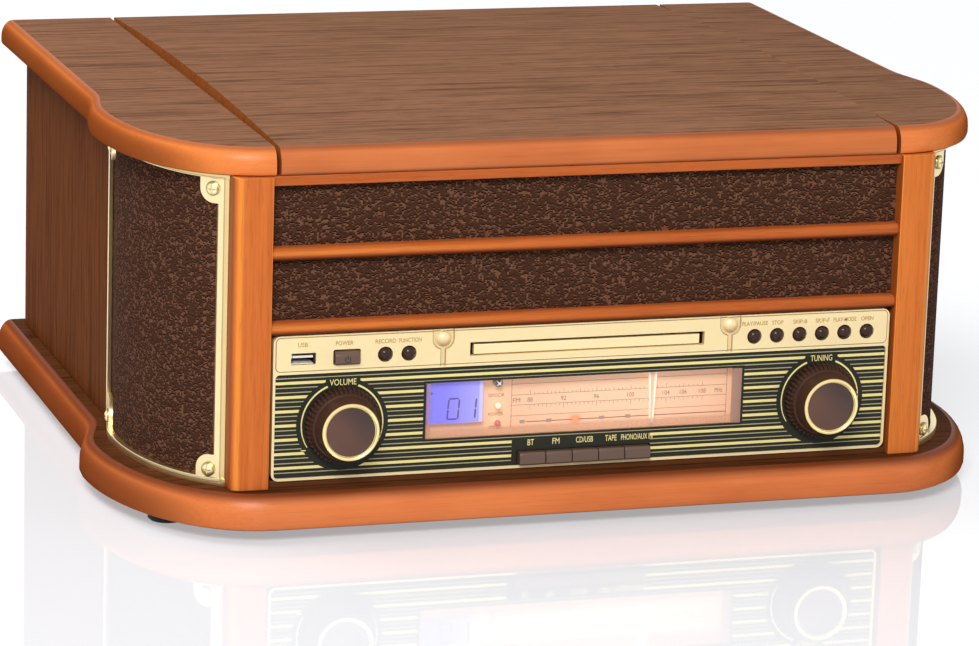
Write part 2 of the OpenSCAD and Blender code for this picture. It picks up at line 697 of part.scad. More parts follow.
module cassette_flap() color("black") {
    y0 = fy(mouth_y) - slot_w / 2;
    translate([flap_x, y0 + slide, 0]) rotate([-90, 0, 0]) linear_extrude(slot_w - 2 * slide) union() {
        translate([0, -flap_z]) circle(flap_t / 2);
        translate([-flap_t / 2, -flap_z]) square([flap_t, slot_h - 1.2 - slide]);
    }
    translate([flap_x, y0 - 1.7, flap_z]) rotate([-90, 0, 0])
        cylinder(h = slot_w + 3.4, r = flap_pin);
}
module eject_key() color("black") {
    tape_box(side_x - 2, side_x + bezel_t + 2.5, eject_y, eject_w, eject_h);
    tape_box(side_x - 2, side_x - 0.1, eject_y, eject_w + 2.2, eject_h + 2.2);
}

// ---- Record deck ----
z_deck = z_cap - deck_drop;
deck_t = 3;
tub_wall = 4;
tub_out = lid_w / 2 + 2;
tub_in = tub_out - tub_wall;
tub_front = 18;
tub_back = back_front;
lip_w = 14;
rec_x = -18;
rec_d = 186;
platter_h = 12;
platter_z = z_deck + 2.5;
mat_z = platter_z + platter_h;
mat_t = 3;
boss_z = z_deck + 2.2;
hub_r = 9;
hub_pin_r = record_pin_r + 0.45;
ring_r = platter_r - 30;
pulley_r = 6;
pulley_gap = ring_r + 14;
pulley_at = [rec_x - pulley_gap * sin(45), rec_d + pulley_gap * cos(45)];
arm_x = 134;
arm_d = 292;
arm_z = z_deck + 28;
arm_shaft_r = 4;
tube_r = 3.5;
hook_d = arm_d - 130;
lift_r = 42;
arm_lift = 3;
lift_rise = lift_r * sin(arm_lift);
lift_top = arm_z - tube_r - 0.4;
lift_turn = 16;
lift_post = [arm_x - lift_r * sin(lift_turn), arm_d - lift_r * cos(lift_turn)];
lift_shaft_r = 2;
lever_x = 160;
lever_d = 255;
lever_z = z_deck + 8;
hinge_d = back_front + back_t + 3;
hinge_z = z_cap - 2.5;
stay_d = hinge_d - stay_len;
stay_out = tub_in - 1.6;
stay_in = stay_out - 2.1;
stay_pin_r = 2;
switch_x = 150;
switch_y = 46;
switch_travel = 12;
module at_plan(x, d, z) translate([x, fy(d), z]) children();
module deck_plate() color("black") difference() {
    union() {
        difference() {
            block(-tub_out, tub_out, tub_front, tub_back, z_deck - deck_t, z_cap - 0.3);
            block(-tub_in, tub_in, tub_front + tub_wall, tub_back - tub_wall, z_deck, z_cap + 1);
        }
        pair() block(tub_out - 1, tub_out + lip_w, side_start + 4, tub_back, z_cap - 3, z_cap);
        at_plan(rec_x, rec_d, z_deck - 14) cylinder(h = boss_z - z_deck + 14, r = hub_r);
        at_plan(rec_x, rec_d, z_deck) cylinder(h = mat_z + mat_t - z_deck, r = hub_pin_r);
        at_plan(rec_x, rec_d, mat_z + mat_t - 1) cylinder(h = 9, r = record_pin_r);
        at_plan(arm_x, arm_d, z_deck - 14) cylinder(h = 14.2, r = 8);
        at_plan(lift_post[0], lift_post[1], z_deck - 10) cylinder(h = 12, r = 4.5);
        for (x = [-1, 1]) translate([lever_x + x * 3.3, 0, 0]) lever_ear();
        block(arm_x + tube_r + 1, arm_x + 8, hook_d - 4, hook_d + 4, z_deck - 1, arm_z + 2);
        block(arm_x - tube_r, arm_x + 8, hook_d - 4, hook_d + 4, arm_z - tube_r - 3,
            arm_z - tube_r - 0.3);
        translate([0, fy(stay_d), hinge_z]) {
            rod_x(stay_pin_r + 0.2, stay_out + slide, tub_in + 1);
            rod_x(stay_pin_r, stay_in - 0.3, tub_in);
        }
        for (p = [[-1, -1], [1, -1], [-1, 1], [1, 1]])
            at_plan(p[0] * (tub_in - 12), (tub_front + tub_back) / 2 + p[1] * 150, z_deck - 20)
                cylinder(h = 20, r = 5);
    }
    at_plan(arm_x, arm_d, z_deck - 15) cylinder(h = 20, r = arm_shaft_r + run);
    at_plan(lift_post[0], lift_post[1], z_deck - 11) cylinder(h = 20, r = lift_shaft_r + run);
    at_plan(pulley_at[0], pulley_at[1], z_deck - 5) cylinder(h = 9, r = 4);
    at_plan(-tub_in + 22, 48, z_deck - 2) cylinder(h = 9, r = 19.5);
    block(switch_x - 1.8, switch_x + 1.8, switch_y - 4, switch_y + switch_travel + 4,
        z_deck - 5, z_deck + 1);
    translate([0, fy(lever_d), lever_z]) rod_x(1.5 + run, lever_x - 6, lever_x + 6);
}
module lever_ear() {
    block(-1.2, 1.2, lever_d - 4, lever_d + 4, z_deck - 1, lever_z);
    translate([0, fy(lever_d), lever_z]) rod_x(4, -1.2, 1.2);
}

module platter() color("silver") at_plan(rec_x, rec_d, platter_z) rotate_extrude() difference() {
    union() {
        translate([0, platter_h - 3]) square([platter_r - 1, 3]);
        translate([platter_r - 3, 0]) square([3, platter_h - 1]);
        translate([platter_r - 3, platter_h - 2]) square([2.2, 2]);
        translate([ring_r - 3, 0.5]) square([3, platter_h - 1]);
        square([hub_r - 1, platter_h]);
    }
    translate([-1, -1]) square([1 + hub_pin_r + run, platter_h + 2]);
}
module platter_mat() color("black") at_plan(rec_x, rec_d, mat_z) rotate_extrude() difference() {
    translate([hub_pin_r + slide, 0]) square([platter_r - 3 - hub_pin_r, mat_t]);
    for (i = [0:9]) translate([28 + i * 6.4, mat_t - 0.7]) square([3.4, 2]);
}
module platter_motor() color("silver") at_plan(pulley_at[0], pulley_at[1], 0) difference() {
    union() {
        translate([0, 0, z_deck - deck_t - 24]) cylinder(h = 24, r = 16);
        translate([0, 0, z_deck - deck_t - 1.5]) cylinder(h = 1.5, r = 21);
        translate([0, 0, z_deck - deck_t - 27]) cylinder(h = 4, r = 5);
    }
    translate([0, 0, z_deck - deck_t - 20]) cylinder(h = 30, r = 1 + run);
}
belt_w = 4;
belt_z = z_deck + 5;
module motor_pulley() color("goldenrod") at_plan(pulley_at[0], pulley_at[1], 0) rotate_extrude()
    union() {
        translate([0, z_deck + 4]) square([pulley_r, belt_w + 2]);
        translate([0, z_deck + 3.4]) square([pulley_r + 1.5, 1]);
        translate([0, z_deck + belt_w + 5.6]) square([pulley_r + 1.5, 0.8]);
        translate([0, z_deck - deck_t - 19]) square([1, deck_t + 25]);
    }
// Outline of the belt round the platter's ring and the pulley, a distance out from both
belt_turn = acos((ring_r - pulley_r) / pulley_gap);
function belt_path(out) = concat(
    [for (i = [0:60]) let (a = belt_turn + (360 - 2 * belt_turn) * i / 60)
        (ring_r + out) * [cos(a), sin(a)]],
    [for (i = [0:10]) let (a = -belt_turn + 2 * belt_turn * i / 10)
        [pulley_gap, 0] + (pulley_r + out) * [cos(a), sin(a)]]);
module drive_belt() color("black") at_plan(rec_x, rec_d, belt_z) rotate([0, 0, 135]) difference() {
    linear_extrude(belt_w) polygon(belt_path(slide + 1));
    translate([0, 0, -1]) linear_extrude(belt_w + 2) polygon(belt_path(slide));
}

module arm_yoke() color("dimgray") at_plan(arm_x, arm_d, 0) {
    translate([0, 0, z_deck + 0.5]) cylinder(h = 5, r = 13);
    translate([0, 0, z_deck + 5]) cylinder(h = 14, r = 9.4);
    translate([0, 0, z_deck - 13]) cylinder(h = 14, r = arm_shaft_r);
    for (s = [-1, 1]) difference() {
        union() {
            translate([s * 7.8 - 1.5, -5, z_deck + 18]) cube([3, 10, arm_z - z_deck - 18]);
            translate([0, 0, arm_z]) rod_x(5, s * 7.8 - 1.5, s * 7.8 + 1.5);
        }
        translate([0, 0, arm_z]) rod_x(1.5 + run, s * 7.8 - 3, s * 7.8 + 3);
    }
}
weight_r = 10;
shell_back = arm_len - 25;
module tonearm() color("silver") at_plan(arm_x, arm_d, arm_z) {
    translate([0, 30, 0]) rotate([90, 0, 0]) cylinder(h = 30 + shell_back, r = tube_r);
    translate([0, 39, 0]) rotate([90, 0, 0]) cylinder(h = 19, r = weight_r);
    translate([0, 20.5, 0]) rotate([90, 0, 0]) cylinder(h = 3, r = weight_r - 2.5);
    rod_x(1.5, -9.2, 9.2);
    translate([-5.6, -8, -4.5]) cube([11.2, 16, 9]);
    translate([0, 0, -3]) linear_extrude(3) polygon([[-4, -shell_back + 4], [4, -shell_back + 4],
        [9.5, -arm_len + 9], [9.5, -arm_len - 6], [7.5, -arm_len - 9], [-7.5, -arm_len - 9],
        [-9.5, -arm_len - 6], [-9.5, -arm_len + 9]]);
    translate([9, -arm_len - 2, -2.4]) cube([11, 5, 1.4]);
}
module cartridge() color("black") at_plan(arm_x, arm_d, arm_z) {
    translate([-7.5, -arm_len - 5, -7.6]) cube([15, 20, 4.6]);
    translate([0, 0, -9]) linear_extrude(2) polygon([[-3.5, -arm_len + 6], [3.5, -arm_len + 6],
        [1.2, -arm_len - 2], [-1.2, -arm_len - 2]]);
}
module lift_bar() color("dimgray") {
    at_plan(arm_x, arm_d, lift_top - 2.2) linear_extrude(2.2) intersection() {
        difference() {
            circle(lift_r + 1.6);
            circle(lift_r - 1.6);
        }
        polygon([[0, 0], for (a = [-6:10:44]) 60 * [-sin(a), -cos(a)]]);
    }
    at_plan(lift_post[0], lift_post[1], z_deck - 3 - lift_rise)
        cylinder(h = lift_top - z_deck + 2 + lift_rise, r = lift_shaft_r);
}
module cue_lever() color("silver") {
    translate([0, fy(lever_d), lever_z]) {
        rod_x(1.5, lever_x - 4.4, lever_x + 4.4);
        rod_x(3.8, lever_x - 1.8, lever_x + 1.8);
        rotate([-14, 0, 0]) translate([lever_x - 1.5, -24, -1.4]) cube([3, 24, 2.8]);
        rotate([-14, 0, 0]) translate([lever_x - 3.4, -27, -1.8]) cube([6.8, 7, 3.6]);
    }
}
module speed_switch() color("silver") {
    block(switch_x - 4, switch_x + 4, switch_y - 3, switch_y + 3, z_deck + 0.3, z_deck + 5);
    block(switch_x - 1.5, switch_x + 1.5, switch_y - 2, switch_y + 2, z_deck - 5, z_deck + 1);
    block(switch_x - 3, switch_x + 3, switch_y - 3, switch_y + 3, z_deck - 5.5, z_deck - deck_t - 0.3);
}

// ---- Lid, its hinges and stay ----
arch_steps = 24;
lid_front = 5.6;
pocket_h = 10;
pocket_x = tub_in - 12;
function arch(d) = let (s = 2 * (d - lid_front) / (rear - lid_front) - 1) z_top + lid_crown * (1 - s * s);
module lid() color("peru") difference() {
    slice(-lid_w / 2, lid_w / 2) polygon(concat(
        [for (l = nose_levels(z_cap, z_top, cap_nose, 9.5)) [lid_front - l[0], l[1]]],
        [for (i = [1:arch_steps]) let (d = lid_front + (rear - lid_front) * i / arch_steps) [d, arch(d)]],
        [[rear, z_cap]]));
    block(-pocket_x, pocket_x, 30, 350, z_cap - 1, z_cap + pocket_h);
    block(pocket_x - 1, tub_in - 1, stay_d - stay_len - 14, 352, z_cap - 1, z_cap + pocket_h);
}
hinge_x = 110;
leaf_w = 40;
knuckle_r = 2.2;
leaf_t = 1.2;
hinge_pin_r = 1.1;
third = leaf_w / 3;
track_x = stay_in - 2.2;
slot_r = 1.5 + slide;
module lid_brackets() color("silver") {
    for (x = [-hinge_x, hinge_x]) difference() {
        union() {
            block(x - leaf_w / 2, x + leaf_w / 2, back_front + 0.4, hinge_d - knuckle_r - 0.4,
                z_cap - leaf_t, z_cap);
            block(x - third / 2 + 0.2, x + third / 2 - 0.2, hinge_d - knuckle_r - 1, hinge_d,
                z_cap - leaf_t, z_cap);
            translate([0, fy(hinge_d), hinge_z]) rod_x(knuckle_r, x - third / 2 + 0.2, x + third / 2 - 0.2);
        }
        translate([0, fy(hinge_d), hinge_z]) rod_x(hinge_pin_r + run, x - leaf_w, x + leaf_w);
    }
    track_near = 2 * stay_len * cos(lid_open) - 5;
    track_far = 2 * stay_len + 5;
    difference() {
        union() {
            block(track_x - 1.5, track_x, hinge_d - track_far, hinge_d - track_near,
                hinge_z - 4.5, z_cap + pocket_h);
            block(track_x - 14, track_x, hinge_d - track_far, hinge_d - track_near,
                z_cap + pocket_h - 1.5, z_cap + pocket_h);
        }
        block(track_x - 3, track_x + 1, hinge_d - track_far + 5, hinge_d - track_near - 5,
            hinge_z - slot_r, hinge_z + slot_r);
        for (d = [track_near + 5, track_far - 5])
            translate([0, fy(hinge_d - d), hinge_z]) rod_x(slot_r, track_x - 3, track_x + 1);
    }
}
module hinge_leaves() color("silver") for (x = [-hinge_x, hinge_x]) {
    difference() {
        union() {
            block(x - leaf_w / 2, x + leaf_w / 2, hinge_d - 3, hinge_d - 3 + leaf_t, hinge_z - 26, hinge_z - 3.6);
            for (s = [-1, 1]) {
                translate([x + s * third, 0, 0]) block(-third / 2, third / 2, hinge_d - 3,
                    hinge_d - 3 + leaf_t, hinge_z - 4, hinge_z);
                translate([0, fy(hinge_d), hinge_z])
                    rod_x(knuckle_r, x + s * third - third / 2, x + s * third + third / 2);
            }
        }
        for (s = [-1, 1], z = [10, 20]) translate([x + s * 13, 0, hinge_z - z]) rod_y(1.6, hinge_d - 5, hinge_d);
    }
    translate([0, fy(hinge_d), hinge_z]) rod_x(hinge_pin_r, x - leaf_w / 2, x + leaf_w / 2);
}
module lid_stay() color("silver") {
    difference() {
        slice(stay_in, stay_out) union() {
            for (d = [stay_d, stay_d - stay_len]) translate([d, hinge_z]) circle(4);
            translate([stay_d - stay_len, hinge_z - 4]) square([stay_len, 8]);
        }
        translate([0, fy(stay_d), hinge_z]) rod_x(stay_pin_r + run, stay_in - 1, stay_out + 1);
    }
    translate([0, fy(stay_d - stay_len), hinge_z]) rod_x(1.5, track_x - 2.6, stay_in + 0.5);
}

// ---- Rear connections and power ----
socket_x = -70;
socket_z = z_ledge + 32;
socket_w = 62;
socket_h = 28;
inlet_x = 150;
inlet_w = 36;
inlet_h = 30;
rear_d = back_front + back_t;
module rear_sockets() color("black") {
    difference() {
        union() {
            translate([socket_x, 0, socket_z]) panel(rear_d, rear_d + 1.5) rounded(socket_w, socket_h, 2);
            translate([socket_x, 0, socket_z]) panel(rear_d - 12, rear_d + 0.5)
                rounded(socket_w - 7, socket_h - 7, 1);
            for (x = [-18, 0]) translate([socket_x + x, 0, socket_z]) rod_y(4.2, rear_d, rear_d + 9);
            translate([socket_x + 20, 0, socket_z]) rod_y(4, rear_d, rear_d + 3);
        }
        for (x = [-18, 0]) translate([socket_x + x, 0, socket_z]) rod_y(1.7, rear_d - 4, rear_d + 10);
        translate([socket_x + 20, 0, socket_z]) rod_y(1.8, rear_d - 8, rear_d + 5);
    }
    translate([inlet_x, 0, socket_z]) difference() {
        union() {
            panel(rear_d, rear_d + 2) rounded(inlet_w, inlet_h, 2);
            panel(rear_d - 18, rear_d + 0.5) rounded(inlet_w - 7, inlet_h - 7, 1);
        }
        panel(rear_d - 12, rear_d + 3) {
            for (x = [-4.3, 4.3]) translate([x, 0]) circle(4.3);
            square([8.6, 8.2], center = true);
        }
    }
    for (x = [-4.3, 4.3]) translate([inlet_x + x, 0, socket_z]) rod_y(1.2, rear_d - 13, rear_d - 1);
}
supply_x = -150;
supply_d = 300;
module power_supply() color("slategray") {
    block(supply_x - 28, supply_x + 28, supply_d, supply_d + 34, z_ledge + 1.5, z_ledge + 48);
    block(supply_x - 16, supply_x + 16, supply_d - 9, supply_d + 43, z_ledge + 10, z_ledge + 39);
    block(supply_x - 38, supply_x + 38, supply_d + 4, supply_d + 30, z_ledge, z_ledge + 1.5);
    block(supply_x + 44, supply_x + 110, supply_d - 20, supply_d + 40, z_ledge + 6, z_ledge + 7.6);
    for (x = [48, 106], d = [-16, 36]) at_plan(supply_x + x, supply_d + d, z_ledge)
        cylinder(h = 6.5, r = 2.5);
    for (x = [56, 74]) at_plan(supply_x + x, supply_d, z_ledge + 7) cylinder(h = 26, r = 8);
    block(supply_x + 90, supply_x + 94, supply_d - 14, supply_d + 34, z_ledge + 7, z_ledge + 32);
}

base_board();
feet();
side_panel_left();
side_panel_right();
back_panel();
pillars();
front_rails();
cloth_panels();
top_caps();
speaker_frames();
speaker_cloths();
speaker_baffles();
speaker_drivers();
screws();
fascia();
dial_plate();
dial_window();
dial_scale();
lcd_display();
dial_pointer();
control_board();
volume_knob();
tuning_knob();
power_button();
record_button();
function_button();
play_button();
stop_button();
skip_back_button();
skip_forward_button();
play_mode_button();
open_button();
bt_key();
fm_key();
cd_key();
tape_key();
phono_key();
cd_mechanism();
cd_tray();
tape_mechanism();
cassette_flap();
eject_key();
deck_plate();
platter();
platter_mat();
platter_motor();
motor_pulley();
drive_belt();
arm_yoke();
tonearm();
cartridge();
lift_bar();
cue_lever();
speed_switch();
lid();
lid_brackets();
hinge_leaves();
lid_stay();
rear_sockets();
power_supply();
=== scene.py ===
"""Looks of a wooden stereo music centre: finishes, cloth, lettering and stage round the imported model."""
import json
import math

import bmesh
import bpy
import numpy as np
from bpy.props import FloatProperty, FloatVectorProperty, PointerProperty
from bpy.types import Operator, Panel, PropertyGroup
from mathutils import Matrix, Vector

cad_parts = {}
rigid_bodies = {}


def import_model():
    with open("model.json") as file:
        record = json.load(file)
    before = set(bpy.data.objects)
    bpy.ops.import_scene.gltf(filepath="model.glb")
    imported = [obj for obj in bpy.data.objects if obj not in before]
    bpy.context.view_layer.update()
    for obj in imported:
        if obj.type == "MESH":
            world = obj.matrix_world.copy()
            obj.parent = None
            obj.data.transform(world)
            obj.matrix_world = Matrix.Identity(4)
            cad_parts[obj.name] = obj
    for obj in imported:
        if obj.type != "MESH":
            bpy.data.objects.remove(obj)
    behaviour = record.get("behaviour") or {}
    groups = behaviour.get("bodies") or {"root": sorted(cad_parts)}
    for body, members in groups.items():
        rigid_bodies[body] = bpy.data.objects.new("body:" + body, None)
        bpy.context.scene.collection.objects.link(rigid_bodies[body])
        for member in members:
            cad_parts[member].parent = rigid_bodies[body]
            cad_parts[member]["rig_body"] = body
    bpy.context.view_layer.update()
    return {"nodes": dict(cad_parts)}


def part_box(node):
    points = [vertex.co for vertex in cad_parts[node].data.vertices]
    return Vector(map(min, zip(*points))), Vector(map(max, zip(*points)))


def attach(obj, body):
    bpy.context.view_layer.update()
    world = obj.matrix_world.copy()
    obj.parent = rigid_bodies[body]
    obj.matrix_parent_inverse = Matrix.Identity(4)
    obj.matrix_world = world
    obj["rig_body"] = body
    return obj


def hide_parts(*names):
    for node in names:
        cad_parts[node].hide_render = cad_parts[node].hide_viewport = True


bl_info = {
    "name": "Stereo Music Centre",
    "version": (1, 0, 0),
    "blender": (4, 5, 0),
    "location": "View3D > Sidebar > Music Centre",
    "description": "Wood, brass, cloth and dial finishes for a stereo music centre",
    "category": "Object",
}

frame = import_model()
NODES = frame["nodes"]
MM = 0.001


def rgb(red, green, blue):
    """Linear colour of a display colour given in 0..255: a straight line near black, a power above."""
    straight, offset, power = 3294.6, 0.055, 2.4
    return tuple(((v / 255 + offset) / (1 + offset)) ** power if v > 10 else v / straight
                 for v in (red, green, blue))


def span(node):
    """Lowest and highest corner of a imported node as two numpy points, in metres."""
    low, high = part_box(node)
    return np.array(low), np.array(high)


def centre(node, axis):
    """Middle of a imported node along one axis, in metres."""
    low, high = span(node)
    return (low[axis] + high[axis]) / 2


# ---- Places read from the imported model, in metres ----
FASCIA_LOW, FASCIA_HIGH = span("fascia")
PLATE_LOW, PLATE_HIGH = span("dial_plate")
WINDOW_LOW, WINDOW_HIGH = span("dial_window")
GRILLE_LOW, GRILLE_HIGH = span("speaker_frames")
WINDOW_MID = centre("dial_window", 2)
KNOB_X, KNOB_Z = centre("tuning_knob", 0), centre("volume_knob", 2)
KNOB_TIP = span("volume_knob")[0][1]
BUTTON_Z = centre("play_button", 2)
PILLAR_X = span("pillars")[1][0] + 0.1 * MM
LEDGE_Z = span("base_board")[1][2]
TOP_Z = span("top_caps")[1][2]
CLOTH_TOP = span("cloth_panels")[1][2]
TRAY_FRONT = span("cd_tray")[0][1]
CARD_Y = span("dial_scale")[1][1] - 1.5 * MM
LAMP_FRONT = span("lcd_display")[0][1] + 1.7 * MM

# ---- The fascia's own lengths, in metres ----
SKIN = 1.1 * MM
FACE_Y = PLATE_LOW[1] - SKIN
SKIN_Y = FACE_Y + SKIN
BAND_Y, BAND_Z = FACE_Y - 0.3 * MM, BUTTON_Z - 8.4 * MM
BAND_WORDS_Z = BUTTON_Z + 7.3 * MM
POWER_Z = BUTTON_Z - 0.5 * MM
SOCKET_X = span("control_board")[0][0] + 12 * MM
PLATE_MID = (BAND_Z + FASCIA_HIGH[2]) / 2 + 0.2 * MM
PLATE_HALF = FASCIA_HIGH[0] - 1.4 * MM, (FASCIA_HIGH[2] - BAND_Z) / 2 - 1 * MM
PLATE_ROUND = 2.5 * MM
DOME_X, DOME_Z, DOME_R = 82 * MM, FASCIA_HIGH[2] - 5 * MM, 4.7 * MM
GROOVE_R, GROOVE_HALF = 5.9 * MM, 1.3 * MM
FLANGE = 2.3 * MM
CLOTH_DEPTH = 2.6 * MM
RAIL = 7.2 * MM
STRIPE_TOP = 83.2 * MM
DISC_R, ARC_R = 25.5 * MM, 22.6 * MM
RING_IN, RING_OUT, SKIRT_R = 13.5 * MM, 15.75 * MM, 18.5 * MM
KNURLS = 48
KEY_BLOCK_X, KEY_BLOCK_TOP, KEY_WORDS_Z = 39.8 * MM, 46.4 * MM, 43.4 * MM
LAMP_X, DISPLAY_X = -48.4 * MM, -73.2 * MM
SENSOR_Z = WINDOW_MID + 12.7 * MM
LIT_X, LIT_Z = -2.7 * MM, WINDOW_MID - 10.8 * MM


def colour_prop(name, colour, words):
    return FloatVectorProperty(name=name, description=words, default=colour, size=3, subtype="COLOR",
                               min=0, max=1)


def length_prop(name, metres, words, low, high):
    return FloatProperty(name=name, description=words, default=metres, min=low, max=high, unit="LENGTH",
                         precision=5)


class CabinetLooks(PropertyGroup):
    """Colours of the cabinet's woods."""
    veneer: colour_prop("Veneer", rgb(142, 100, 74), "Ground colour of the veneered tops")
    side: colour_prop("Side veneer", rgb(118, 66, 32), "Ground colour of the side panels")
    lacquer: colour_prop("Lacquer", rgb(210, 112, 50), "Colour of the posts' flat faces")
    # Painted highlight: a lighter orange laid over the posts' rounded edges and the rails' tops.
    thin_stain: colour_prop("Thin stain", rgb(244, 148, 58), "Colour of the painted highlight on rounded edges and rail tops")
    edge: colour_prop("Cap edge", rgb(230, 130, 66), "Colour of the moulded edges of the caps")
    lid_edge: colour_prop("Lid edge", rgb(204, 114, 62), "Colour of the lid's moulded edge")
    rail: colour_prop("Rail lacquer", rgb(190, 98, 46), "Colour of the rails between the posts")
    plinth: colour_prop("Base edge", rgb(222, 124, 68), "Colour of the base's moulded edge")
    ledge: colour_prop("Ledge", rgb(92, 52, 28), "Colour of the base's ledge")
    lid_end: colour_prop("Lid ends", rgb(168, 96, 46), "Colour of the lid's sawn ends")
    # The low strip's colour is painted shadow under the fascia.
    strip: colour_prop("Low strip", rgb(96, 54, 28), "Colour of the strip under the fascia")
    brass: colour_prop("Brass", rgb(254, 234, 184), "Colour of the grille frames and their screws")
    pore: colour_prop("Pores", rgb(46, 24, 14), "Colour of the grain's pores")
    edge_round: length_prop("Edge round", 0.0006, "Rounding of a board's edges", 0.0, 0.003)


class ClothLooks(PropertyGroup):
    """Weave of the speaker cloth."""
    ground: colour_prop("Ground", rgb(84, 54, 40), "Colour of the ribbed ground")
    fleck: colour_prop("Fleck", rgb(120, 82, 62), "Colour of the raised flecks")
    cell: length_prop("Fleck size", 0.0026, "Size of the raised flecks", 0.002, 0.02)
    rib: length_prop("Rib", 0.00058, "Distance between threads", 0.0002, 0.003)
    step: length_prop("Step", 0.00095, "Width of the pattern's steps", 0.0002, 0.003)


class FasciaLooks(PropertyGroup):
    """Print and plating of the fascia."""
    gold: colour_prop("Gold", rgb(250, 228, 176), "Colour of the fascia's satin gold")
    stripe: colour_prop("Stripe", rgb(240, 222, 146), "Colour of the thick stripes and the words")
    thin_stripe: colour_prop("Thin stripe", rgb(176, 168, 128), "Colour of the thin stripes")
    ground: colour_prop("Ground", rgb(40, 40, 33), "Colour of the dial plate between its stripes")
    peach: colour_prop("Dial", rgb(240, 196, 164), "Colour of the lit dial")
    brown: colour_prop("Knobs", rgb(66, 42, 33), "Colour of the knobs and the front buttons")
    pitch: length_prop("Stripe pitch", 0.0078, "Distance between two thick stripes", 0.004, 0.02)
    thick: length_prop("Thick stripe", 0.0016, "Height of a thick stripe", 0.0005, 0.004)
    thin: length_prop("Thin stripe", 0.00055, "Height of a thin stripe", 0.0001, 0.002)
    letter: length_prop("Letter height", 0.0034, "Height of the words beside the knobs", 0.001, 0.01)


class StageLooks(PropertyGroup):
    """Floor, lamps and the plain light from all round."""
    floor: colour_prop("Floor", (0.57, 0.58, 0.605), "Colour of the floor")
    white: FloatProperty(name="White", description="Light added to the floor as the camera sees it",
                         default=0.39, min=0, max=1)
    key: FloatProperty(name="Key", description="Power of the main lamp in watts", default=78, min=0)
    fill: FloatProperty(name="Fill", description="Power of the fill lamp in watts", default=4, min=0)
    top: FloatProperty(name="Top", description="Power of the lamp overhead in watts", default=16, min=0)
    ambient: FloatProperty(name="Ambient", description="Plain light from all round", default=0.29, min=0)


# ---- Shader arithmetic ----
def operation(name):
    """A method that adds a Math node of one operation to a shade's finish."""
    return lambda self, *other: self.finish.value("ShaderNodeMath", {"operation": name}, self, *other)


class Shade:
    """A number that changes over a surface. Arithmetic on it adds Math nodes to its finish. Repeat
    gives what is left after whole periods, and bearing the angle in radians of the point whose height
    is this number and whose way across is the other."""

    def __init__(self, finish, socket):
        self.finish = finish
        self.socket = socket

    def __rsub__(self, other):
        return self.finish.value("ShaderNodeMath", {"operation": "SUBTRACT"}, other, self)

    __add__ = __radd__ = operation("ADD")
    __sub__ = operation("SUBTRACT")
    __mul__ = operation("MULTIPLY")
    __truediv__ = operation("DIVIDE")
    __pow__ = operation("POWER")
    __abs__ = operation("ABSOLUTE")
    __lt__ = operation("LESS_THAN")
    __gt__ = operation("GREATER_THAN")
    low = operation("MINIMUM")
    high = operation("MAXIMUM")
    floor = operation("FLOOR")
    repeat = operation("FLOORED_MODULO")
    bearing = operation("ARCTAN2")

    def ramp(self, start, end):
        """0 below start, 1 above end, smooth between."""
        return self.finish.value("ShaderNodeMapRange", {"interpolation_type": "SMOOTHSTEP"},
                                 self, start, end, 0.0, 1.0)


